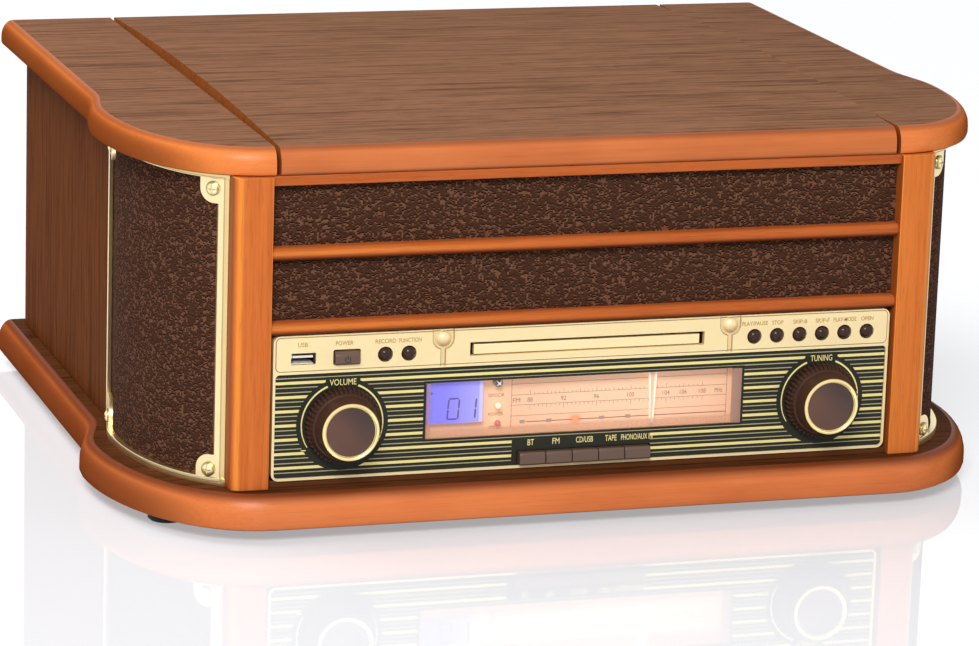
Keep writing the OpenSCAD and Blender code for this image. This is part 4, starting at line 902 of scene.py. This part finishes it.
@once
def tray_finish():
    """Dark tray with a pale gold front."""
    looks = bpy.context.scene.fascia_looks
    finish = Finish("tray")
    lip = 3.0
    front = finish.place()[1] < TRAY_FRONT / MM + lip
    spark = finish.speck(3.0)
    tone = finish.blend(front, rgb(26, 26, 27), looks.gold)
    return finish.paint(Base_Color=tone, Metallic=front * 0.35,
                        Roughness=0.42 - front * 0.08 + spark * 0.06,
                        Normal=finish.bump(spark, 0.008))


@once
def board_finish():
    """Green circuit board with dark switches and, at its left, a socket shell that is bright on its
    tongue and lower lip and dark inside."""
    finish = Finish("board")
    x, y, z = finish.place()
    sideways, upward = x - SOCKET_X / MM, z - POWER_Z / MM
    half_wide, half_tall, shell_back, part_back = 7.5, 4.0, FACE_Y / MM + 8.9, FACE_Y / MM + 9.8
    tongue_low, tongue_top, lip, tongue_half = 0.2, 2.4, -2.3, 6.1
    shell = (abs(sideways) < half_wide) * (abs(upward) < half_tall) * (y < shell_back)
    part = (y < part_back) * (1.0 - shell)
    lit = (upward > tongue_low).high(upward < lip) * (abs(sideways) < tongue_half) * (upward < tongue_top)
    green = finish.blend(part, rgb(38, 92, 56), rgb(30, 30, 30))
    spark = finish.speck(0.8, 3)
    tone = finish.blend(shell, green, finish.blend(lit, rgb(46, 34, 30), rgb(236, 230, 220)))
    return finish.paint(Base_Color=tone, Metallic=shell * 0.3, Roughness=spark * 0.15 + 0.3)


@once
def woven():
    """Jacquard speaker cloth. The pattern is a noise read once for each step of the weave, so that its
    raised flecks, where the noise is over a level, have stepped edges. Most flecks have a painted
    shadow on the thread above them, and the ground shows horizontal ribs."""
    looks = bpy.context.scene.cloth_looks
    finish = Finish("woven")
    u, v = finish.spread()
    cell, rib, step = looks.cell / MM, looks.rib / MM, looks.step / MM
    thread_u, thread_v = (u / step).floor(), (v / rib).floor()

    def pattern(du, dv):
        point = finish.join((thread_u + du) * (step / cell), (thread_v + dv) * (rib / cell * 1.25))
        made = finish.node("ShaderNodeTexNoise", None, Vector=point, Scale=1.0, Detail=1.6,
                           Roughness=0.6, Distortion=1.3)
        return Shade(finish, made.outputs[0])

    level, broken = 0.555, 0.36
    raised = pattern(0, 0) > level
    # Painted shadow on the thread above a fleck, broken up by a second noise.
    above = (pattern(0, -1) > level) * (1.0 - raised) * (pattern(31, 47) > broken)
    dust = finish.node("ShaderNodeTexWhiteNoise", {"noise_dimensions": "2D"},
                       Vector=finish.join(thread_u, thread_v))
    chance = Shade(finish, dust.outputs["Value"])
    across = abs((v / rib).repeat(1.0) - 0.5) * 2.0
    ground = looks.ground
    base = finish.blend(across * 0.5 + chance * 0.5, ground, deepened(ground, 0.34, 0.3, 0.28))
    lit = finish.blend(raised * (0.5 + chance * 0.5), base, looks.fleck)
    tone = finish.blend(above * 0.95, lit, deepened(ground, 0.13, 0.11, 0.11))
    height = raised * 1.0 - above * 0.8 - across * 0.3
    return finish.paint(Base_Color=tone, Roughness=0.88, Specular_IOR_Level=0.04,
                        Normal=finish.bump(height, 0.2))


# ---- The pieces ----
class MUSIC_OT_stage(Operator):
    """Lay a pale floor, hang the soft lamps and set the camera"""
    bl_idname = "music.stage"
    bl_label = "Stage"

    def execute(self, context):
        looks = context.scene.stage_looks
        finish = Finish("floor")
        rays = finish.node("ShaderNodeLightPath")
        seen = Shade(finish, rays.outputs["Is Camera Ray"]).high(rays.outputs["Is Glossy Ray"])
        finish.paint(Base_Color=tuple(looks.floor), Roughness=0.03, Specular_IOR_Level=0.5,
                     Coat_Weight=0.2, Coat_Roughness=0.02,
                     Emission_Color=(0.97, 0.98, 1.0), Emission_Strength=seen * looks.white)
        reach, thick = 8, 0.02
        slab = box_mesh("floor", [-reach, -reach, -thick], [reach, reach, 0.0])
        floor = bpy.data.objects.new("floor", slab)
        floor.data.materials.append(finish.material)
        context.scene.collection.objects.link(floor)
        self.hang("key_lamp", (-1.0, -2.4, 1.95), (1.3, 0.9), looks.key)
        self.hang("fill_lamp", (2.1, -1.6, 1.0), (0.9, 1.4), looks.fill)
        self.hang("top_lamp", (-0.9, 0.5, 1.6), (1.2, 1.0), looks.top)
        self.light_world(context.scene, looks.ambient)
        self.set_camera(context.scene)
        context.scene.view_settings.view_transform = "Standard"
        return {"FINISHED"}

    def hang(self, name, place, size, watts):
        """A soft lamp turned to the cabinet's middle. The one overhead is kept out of reflections."""
        lamp = bpy.data.lights.new(name, "AREA")
        lamp.shape = "RECTANGLE"
        lamp.size, lamp.size_y = size
        lamp.energy = watts
        hung = bpy.data.objects.new(name, lamp)
        hung.location = place
        hung.visible_glossy = name != "top_lamp"
        hung.rotation_euler = (Vector((0, 0, 0.1)) - Vector(place)).to_track_quat("-Z", "Y").to_euler()
        bpy.context.scene.collection.objects.link(hung)

    def light_world(self, scene, ambient):
        """White for the camera, for reflections and through glass, a plain grey level for the rest."""
        world = bpy.data.worlds.new("studio")
        scene.world = world
        world.use_nodes = True
        tree = world.node_tree
        tree.nodes.clear()
        rays = tree.nodes.new("ShaderNodeLightPath")
        seen = rays.outputs["Is Camera Ray"]
        for kind in ("Is Glossy Ray", "Is Transmission Ray"):
            either = tree.nodes.new("ShaderNodeMath")
            either.operation = "MAXIMUM"
            tree.links.new(seen, either.inputs[0])
            tree.links.new(rays.outputs[kind], either.inputs[1])
            seen = either.outputs[0]
        strength = tree.nodes.new("ShaderNodeMapRange")
        strength.inputs["To Min"].default_value = ambient
        strength.inputs["To Max"].default_value = 1.0
        tree.links.new(seen, strength.inputs["Value"])
        back = tree.nodes.new("ShaderNodeBackground")
        back.inputs["Color"].default_value = (1, 1, 1, 1)
        tree.links.new(strength.outputs[0], back.inputs["Strength"])
        out = tree.nodes.new("ShaderNodeOutputWorld")
        tree.links.new(back.outputs[0], out.inputs["Surface"])

    def set_camera(self, scene):
        """Camera of the photograph: degrees turned, tipped down and rolled, and its place in metres."""
        turn, tip, roll = (math.radians(v) for v in (18.178, 14.019, 1.885))
        place = (-0.7685, -2.3539, 0.6813)
        ahead = Vector((math.sin(turn) * math.cos(tip), math.cos(turn) * math.cos(tip), -math.sin(tip)))
        side = Vector((math.cos(turn), -math.sin(turn), 0))
        up = side.cross(ahead)
        right = side * math.cos(roll) + up * math.sin(roll)
        over = up * math.cos(roll) - side * math.sin(roll)
        lens = bpy.data.cameras.new("camera")
        lens.sensor_width = 36
        lens.lens = 161.38
        camera = bpy.data.objects.new("camera", lens)
        turned = Matrix((right, over, -ahead)).transposed()
        camera.matrix_world = Matrix.Translation(place) @ turned.to_4x4()
        scene.collection.objects.link(camera)
        scene.camera = camera


class MUSIC_OT_woods(Operator):
    """Finish the cabinet's boards, posts, rails, caps and lid"""
    bl_idname = "music.woods"
    bl_label = "Woods"

    def execute(self, context):
        edge = context.scene.cabinet_looks.edge_round
        surfaced("base_board", moulded(LEDGE_Z, "plinth", "ledge", 0.95))
        surfaced("top_caps", moulded(TOP_Z))
        surfaced("lid", moulded(TOP_Z, "lid_edge", "veneer", 0.6, True), angle=40)
        for side in ("left", "right"):
            surfaced("side_panel_" + side, veneered("Z", "side"), edge)
        surfaced("pillars", posted(), edge)
        surfaced("front_rails", railed(), edge * 0.6)
        surfaced("back_panel", fibreboard(), edge * 0.5)
        surfaced("speaker_baffles", fibreboard())
        return {"FINISHED"}


def corner_curve(samples=72):
    """Outline of the right-hand grille seen from above, x and y in metres: a quarter superellipse
    of fullness 2.1 from the straight front to the bulge, then a half cosine in to the side."""
    from_x, front, bulge_x, bulge_d, end_x, end_d = (v * MM for v in (176.5, 3, 238, 108, 231, 152))
    t = np.linspace(0, math.pi / 2, samples)
    power = 2 / 2.1
    front_x = from_x + (bulge_x - from_x) * np.sin(t) ** power
    front_y = bulge_d - (bulge_d - front) * np.cos(t) ** power
    s = np.linspace(0, 1, samples // 3)[1:]
    side_x = end_x + (bulge_x - end_x) * (1 + np.cos(math.pi * s)) / 2
    side_y = bulge_d + (end_d - bulge_d) * s
    return np.stack([np.r_[front_x, side_x], FACE_Y + np.r_[front_y, side_y]], -1)


def set_in(curve, depth):
    """A curve moved inwards by a depth along its own normals."""
    way = np.gradient(curve, axis=0)
    way /= np.linalg.norm(way, axis=1, keepdims=True)
    return curve - depth * np.stack([way[:, 1], -way[:, 0]], -1)


class MUSIC_OT_cloths(Operator):
    """Stretch the woven cloth behind the grilles and between the rails"""
    bl_idname = "music.cloths"
    bl_label = "Cloths"

    def execute(self, context):
        made = [self.corner(side) for side in (-1, 1)]
        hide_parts("speaker_cloths")
        low, high = span("cloth_panels")
        tall = (high[2] - low[2] - RAIL) / 2
        panels = [self.panel(name, low, high, z, tall)
                  for name, z in (("lower_cloth", low[2]), ("upper_cloth", low[2] + tall + RAIL))]
        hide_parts("cloth_panels")
        return {"FINISHED"}

    def corner(self, side):
        """Cloth on the corner curve, set in behind the frame's face. u is the length along the curve
        and v the height."""
        low, high = span("speaker_cloths")
        curve = set_in(corner_curve(), CLOTH_DEPTH)
        curve = curve[(curve[:, 0] > PILLAR_X) & (curve[:, 1] < high[1])]
        run = np.r_[0, np.cumsum(np.linalg.norm(np.diff(curve, axis=0), axis=1))]
        tall = np.linspace(low[2], high[2], 24)
        points = np.empty((len(curve), len(tall), 3))
        points[..., 0] = side * curve[:, None, 0]
        points[..., 1] = curve[:, None, 1]
        points[..., 2] = tall[None]
        uv = np.stack(np.broadcast_arrays(side * run[:, None], tall[None]), -1)
        if side < 0:
            points, uv = points[::-1], uv[::-1]
        name = "left_cloth" if side < 0 else "right_cloth"
        cloth = add_piece(name, grid_mesh(name, points, uv=uv), "cabinet", woven())
        return cloth

    def panel(self, name, low, high, z, tall):
        """Flat cloth between two rails. u is across and v is up."""
        across = np.linspace(low[0], high[0], 60)
        up = np.linspace(z, z + tall, 10)
        points = np.empty((len(across), len(up), 3))
        points[..., 0] = across[:, None]
        points[..., 1] = low[1]
        points[..., 2] = up[None]
        cloth = add_piece(name, grid_mesh(name, points, uv=points[..., [0, 2]]), "cabinet", woven())
        return cloth


class MUSIC_OT_grilles(Operator):
    """Plate the corner grille frames and their screws"""
    bl_idname = "music.grilles"
    bl_label = "Grilles"

    def execute(self, context):
        surfaced("speaker_frames", brassed(), 0.0008, 40)
        surfaced("screws", screw_brass(), 0.0, 25)
        surfaced("speaker_drivers", plastic("paper", rgb(22, 21, 21), 0.6, 0.05))
        return {"FINISHED"}


class MUSIC_OT_fascia(Operator):
    """Finish the fascia, its dial plate and everything printed or raised on them"""
    bl_idname = "music.fascia"
    bl_label = "Fascia"

    def execute(self, context):
        surfaced("fascia", gold_panel(), 0.00025, 28)
        surfaced("dial_plate", striped(), 0.0, 28)
        self.raised_words()
        self.knob_marks(context.scene.fascia_looks)
        self.key_words()
        return {"FINISHED"}

    def raised_words(self):
        """Gold words over the socket and buttons, raised a fifth of a millimetre, each with its length
        and its shift from the middle of its button in millimetres."""
        words = [("USB", SOCKET_X, 5.4)]
        for button, text, wide, shift in (
                ("power", "POWER", 9.6, -1.5), ("record", "RECORD", 11.4, 0),
                ("function", "FUNCTION", 12.4, 0.6), ("play", "PLAY/PAUSE", 15.0, 0),
                ("stop", "STOP", 6.5, 0), ("skip_back", "SKIP-B", 8.2, 0),
                ("skip_forward", "SKIP-F", 8.2, 0), ("play_mode", "PLAY-MODE", 13.4, 0),
                ("open", "OPEN", 7.3, 0)):
            words.append((text, centre(button + "_button", 0) + shift * MM, wide))
        tall, back, raise_by, bold = 2.3 * MM, BAND_Y + 0.02 * MM, 0.2 * MM, 0.004
        meshes = [words_mesh(text, x, BAND_WORDS_Z, tall, back, raise_by, wide * MM, bold)
                  for text, x, wide in words]
        raised_gold = metal("raised_gold", rgb(196, 160, 108), 0.4, "X")
        add_print("band_words", meshes, raised_gold)

    def knob_marks(self, looks):
        """A word and two arcs round each knob, and a dash to the lower left of the left-hand knob."""
        parts = []
        for side, word, wide in ((-1, "VOLUME", 14.8), (1, "TUNING", 12.8)):
            x, z = side * KNOB_X, KNOB_Z
            parts.append(words_mesh(word, x, z + 23.2 * MM, looks.letter, SKIN_Y, 0.1 * MM, wide * MM))
            for start, end in ((68, -32), (112, 212)):
                parts.append(ring_mesh("arc", x, z, ARC_R, (1.05 * MM, 0.45 * MM), start, end, SKIN_Y,
                                       0.12 * MM))
        lows = np.array([[-KNOB_X - 22.5 * MM, SKIN_Y - 0.1 * MM, KNOB_Z - 13.9 * MM]])
        parts.append(box_mesh("dash", lows, lows + np.array([[2.6, 0.1, 0.5]]) * MM))
        add_print("knob_marks", parts, print_gold())

    def key_words(self):
        """A word over each source key."""
        parts = []
        for key, text, wide, shift in (("bt", "BT", 3.6, -0.2), ("fm", "FM", 4.0, -0.9),
                                       ("cd", "CD/USB", 9.8, 0.4), ("tape", "TAPE", 6.6, 0.5),
                                       ("phono", "PHONO/AUX IN", 18.2, 0.4)):
            x = centre(key + "_key", 0) + shift * MM
            parts.append(words_mesh(text, x, KEY_WORDS_Z, 3.3 * MM, SKIN_Y, 0.08 * MM, wide * MM))
        add_print("key_words", parts, print_gold())


@once
def print_gold():
    """Cream-gold ink with a faint painted glow."""
    looks = bpy.context.scene.fascia_looks
    finish = Finish("print_gold")
    fine = finish.speck(2.5)
    gold = looks.stripe
    tone = finish.blend(fine, gold, deepened(gold, 0.9, 0.9, 0.9))
    # The faint emission is a painted glow.
    return finish.paint(Base_Color=tone, Metallic=0.1, Roughness=fine * 0.1 + 0.35,
                        Emission_Color=gold, Emission_Strength=0.12)


@once
def ink():
    """Dark brown ink of the dial."""
    finish = Finish("ink")
    fine = finish.speck(2.5)
    tone = finish.blend(fine, rgb(162, 124, 102), rgb(148, 112, 92))
    return finish.paint(Base_Color=tone, Roughness=0.5)


class MUSIC_OT_dial(Operator):
    """Print the dial card and light the display"""
    bl_idname = "music.dial"
    bl_label = "Dial"

    def execute(self, context):
        surfaced("dial_scale", dial_card())
        surfaced("dial_window", clear(), 0.0002)
        surfaced("lcd_display", display())
        surfaced("dial_pointer", pointer_glass())
        self.print_scale()
        self.print_digits()
        return {"FINISHED"}

    def print_scale(self):
        """A ruler from 88 to 108 with a tick each half step above and below its numbers, long lines,
        the words beside the lamps, five source marks and the sensor's rim. Each long line is a height
        over the window's middle and a thickness."""
        left, right = -39.6 * MM, 84.8 * MM
        front, thin = CARD_Y, 0.05 * MM
        lines = ((10.4, 0.2), (4.3, 0.22), (-1.4, 0.22), (-7.4, 0.2))
        low = [[left, front - thin, WINDOW_MID + z * MM] for z, _ in lines]
        high = [[right, front, WINDOW_MID + (z + tall) * MM] for z, tall in lines]
        low.append([-31 * MM, front - thin, WINDOW_MID - 11.2 * MM])
        high.append([right, front, WINDOW_MID - 10.7 * MM])
        for x in (left, right):
            low.append([x - 0.12 * MM, front - thin, WINDOW_MID - 13.8 * MM])
            high.append([x + 0.12 * MM, front, WINDOW_MID + 13.6 * MM])
        numbers = (88, 92, 96, 100, 104, 106, 108)
        places = np.array([-29.0, -9.8, 9.1, 28.9, 49.5, 59.5, 70.6]) * MM
        marks = np.arange(41)
        steps = np.interp(88 + marks / 2, numbers, places)
        for z, rise in ((4.3, 1.0), (-1.4, -1.0)):
            tall = np.where(marks % 8 == 0, 2.6, np.where(marks % 4 == 0, 2.0, 1.3)) * MM * rise
            base = np.full(41, WINDOW_MID + z * MM)
            ends = np.sort(np.stack([base, base + tall]), axis=0)
            low += np.stack([steps, np.full(41, front - thin), ends[0]], -1).tolist()
            high += np.stack([steps + 0.2 * MM, np.full(41, front), ends[1]], -1).tolist()
        parts = [box_mesh("ticks", np.array(low), np.array(high))]
        words = [(str(number), place, 4.0 if number > 99 else 3.0)
                 for number, place in zip(numbers, places)]
        words += [("FM", -36.7 * MM, 4.2), ("MHz", 80.1 * MM, 4.4)]
        for word, x, wide in words:
            parts.append(words_mesh(word, x, WINDOW_MID + 1.4 * MM, 2.5 * MM, front, thin, wide * MM))
        for z, word, wide in ((4.9, "SENSOR", 9.4), (-5.7, "POWER", 8.6), (-13.0, "FM ST", 6.8)):
            parts.append(words_mesh(word, LAMP_X, WINDOW_MID + z * MM, 2.0 * MM, front, thin, wide * MM))
        add_print("dial_print", parts, ink())
        x = np.array([-33.1, -17.9, 12.5, 27.7]) * MM
        size = np.array([3.0, 0.1, 1.9]) * MM
        lows = np.stack([x - size[0] / 2, 0 * x + front - size[1], 0 * x + WINDOW_MID - 11.7 * MM], -1)
        self.on_card("source_marks", box_mesh("source_marks", lows, lows + size),
                     plastic("mark_grey", rgb(196, 172, 156), 0.4, 0.0))
        size = np.array([3.4, 0.1, 2.4]) * MM
        lit = np.array([LIT_X - size[0] / 2, front - size[1], WINDOW_MID - 11.9 * MM])
        self.on_card("lit_mark", box_mesh("lit_mark", lit, lit + size), glow())
        outer, inner = 2.4 * MM, 1.75 * MM
        rim = np.array([[outer, CARD_Y], [outer, LAMP_FRONT - 0.4 * MM], [inner, LAMP_FRONT - 0.2 * MM],
                        [inner, CARD_Y]])
        self.on_card("sensor_rim", turned_mesh("sensor_rim", LAMP_X, SENSOR_Z, rim),
                     metal("rim_steel", rgb(150, 146, 142), 0.3, "X"))

    def on_card(self, name, mesh, finish):
        """A single mesh on the dial card."""
        add_piece(name, mesh, "cabinet", finish)

    def print_digits(self):
        """The number 01 in seven-segment bars, leaning a little, and a mark at the left. Each bar is
        whole widths across, whole heights up, and whether it lies flat."""
        front = LAMP_FRONT - 0.02 * MM
        tall, wide, bar, thin, lean = 5.7 * MM, 6.0 * MM, 1.0 * MM, 0.06 * MM, 0.07
        upright = [(1, 1, False), (1, 0, False)]
        digits = (upright + [(0, 2, True), (0, 0, True), (0, 0, False), (0, 1, False)], upright)
        flat = (0.6 * bar, 0, 0), (wide, 0, bar)
        stood = (0, 0, 0.6 * bar), (bar, 0, tall)
        lows, highs = [], []
        for place, bars in enumerate(digits):
            x = DISPLAY_X + (place * 9.6 - 4.0) * MM
            for across, up, lies in bars:
                start = np.array([x + across * wide, front - thin, WINDOW_MID - 6.6 * MM + up * tall])
                gap, run = flat if lies else stood
                lows.append(start + gap)
                highs.append(start + run - np.array([0.1 * bar, -thin, 0.1 * bar]))
        mark = words_mesh(">", -86.9 * MM, WINDOW_MID + 8.7 * MM, 2.0 * MM, front, thin, bold=0.05)
        digits = joined("digits", [box_mesh("bars", np.array(lows), np.array(highs)), mark])
        digits.transform(Matrix(((1, 0, lean, -lean * WINDOW_MID), (0, 1, 0, 0), (0, 0, 1, 0),
                                 (0, 0, 0, 1))))
        add_piece("display_digits", digits, "cabinet", plastic("digit_ink", rgb(84, 74, 156), 0.4, 0.0))


class MUSIC_OT_controls(Operator):
    """Finish the knobs, buttons, keys, tray and socket"""
    bl_idname = "music.controls"
    bl_label = "Controls"

    def execute(self, context):
        surfaced("volume_knob", knob_finish(-1), 0.0, 30)
        surfaced("tuning_knob", knob_finish(1), 0.0, 30)
        for name in ("record", "function", "play", "stop", "skip_back", "skip_forward", "play_mode",
                     "open"):
            surfaced(name + "_button", brown_gloss(), 0.0, 40)
        key_brown = plastic("key_brown", rgb(100, 74, 60), 0.3, 0.004)
        for node in ("power_button", "bt_key", "fm_key", "cd_key", "tape_key", "phono_key"):
            surfaced(node, key_brown, 0.0003)
        surfaced("cd_tray", tray_finish(), 0.0002)
        surfaced("control_board", board_finish())
        self.power_mark()
        return {"FINISHED"}

    def power_mark(self):
        """The usual sign of a ring open at its top round a short bar."""
        x, z = centre("power_button", 0), centre("power_button", 2) - 0.9 * MM
        front, line, raise_by = span("power_button")[0][1] + 0.1 * MM, 0.4 * MM, 0.16 * MM
        ring = ring_mesh("ring", x, z - 0.2 * MM, 1.5 * MM, (line, line), 125, 415, front, raise_by)
        bar = box_mesh("bar", [x - line / 2, front - raise_by, z], [x + line / 2, front, z + 1.9 * MM])
        mark_black = plastic("mark_black", rgb(12, 8, 6), 0.5, 0.0)
        add_print("power_mark", [ring, bar], mark_black, "power_button")


class MUSIC_OT_record_deck(Operator):
    """Finish the record deck, its arm and its drive"""
    bl_idname = "music.record_deck"
    bl_label = "Record deck"

    def execute(self, context):
        surfaced("deck_plate", plastic("deck_black", rgb(27, 26, 25), 0.42, 0.03), 0.0006)
        surfaced("platter", metal("platter_alloy", rgb(196, 196, 194), 0.3, "Z"), 0.0, 25)
        surfaced("platter_mat", rubber(), 0.0, 25)
        steel = metal("plated_steel", rgb(188, 190, 192), 0.3, "X")
        for node in ("platter_motor", "lift_bar", "lid_brackets", "hinge_leaves", "lid_stay",
                     "power_supply"):
            surfaced(node, steel)
        bright = metal("arm_metal", rgb(212, 212, 210), 0.2, "Y")
        for node in ("tonearm", "cue_lever", "speed_switch"):
            surfaced(node, bright, 0.0002)
        surfaced("arm_yoke", plastic("yoke_grey", rgb(58, 58, 60), 0.34, 0.01), 0.0003)
        surfaced("cartridge", plastic("cartridge_black", rgb(22, 22, 24), 0.3, 0.01), 0.0002)
        surfaced("motor_pulley", metal("pulley_brass", rgb(214, 180, 106), 0.25, "Z"))
        surfaced("drive_belt", rubber())
        return {"FINISHED"}


class MUSIC_OT_housings(Operator):
    """Finish the cassette deck, the disc mechanism, the back and the feet"""
    bl_idname = "music.housings"
    bl_label = "Housings"

    def execute(self, context):
        black = plastic("case_black", rgb(24, 24, 25), 0.46, 0.03)
        for node in ("tape_mechanism", "cassette_flap", "eject_key", "rear_sockets"):
            surfaced(node, black, 0.0004)
        surfaced("cd_mechanism", plastic("case_grey", rgb(96, 98, 102), 0.5, 0.03), 0.0004)
        surfaced("feet", rubber())
        return {"FINISHED"}


class MUSIC_PT_panel(Panel):
    """Lists the pieces and the sizes and colours that can be changed"""
    bl_idname = "MUSIC_PT_panel"
    bl_label = "Music Centre"
    bl_space_type = "VIEW_3D"
    bl_region_type = "UI"
    bl_category = "Music Centre"

    def draw(self, context):
        for made in OPERATORS:
            self.layout.operator(made.bl_idname)
        for name, group in GROUPS.items():
            box = self.layout.box()
            for key in group.__annotations__:
                box.prop(getattr(context.scene, name), key)


GROUPS = {"cabinet_looks": CabinetLooks, "cloth_looks": ClothLooks, "fascia_looks": FasciaLooks,
          "stage_looks": StageLooks}
OPERATORS = (MUSIC_OT_stage, MUSIC_OT_woods, MUSIC_OT_grilles, MUSIC_OT_cloths, MUSIC_OT_fascia,
             MUSIC_OT_dial, MUSIC_OT_controls, MUSIC_OT_record_deck, MUSIC_OT_housings)


def register():
    for name, group in GROUPS.items():
        bpy.utils.register_class(group)
        setattr(bpy.types.Scene, name, PointerProperty(type=group))
    for made in (*OPERATORS, MUSIC_PT_panel):
        bpy.utils.register_class(made)


def unregister():
    for made in (*OPERATORS, MUSIC_PT_panel):
        bpy.utils.unregister_class(made)
    for name, group in GROUPS.items():
        delattr(bpy.types.Scene, name)
        bpy.utils.unregister_class(group)


def main():
    """Makes every piece."""
    register()
    for made in OPERATORS:
        family, name = made.bl_idname.split(".")
        getattr(getattr(bpy.ops, family), name)()


if __name__ == "__main__":
    main()
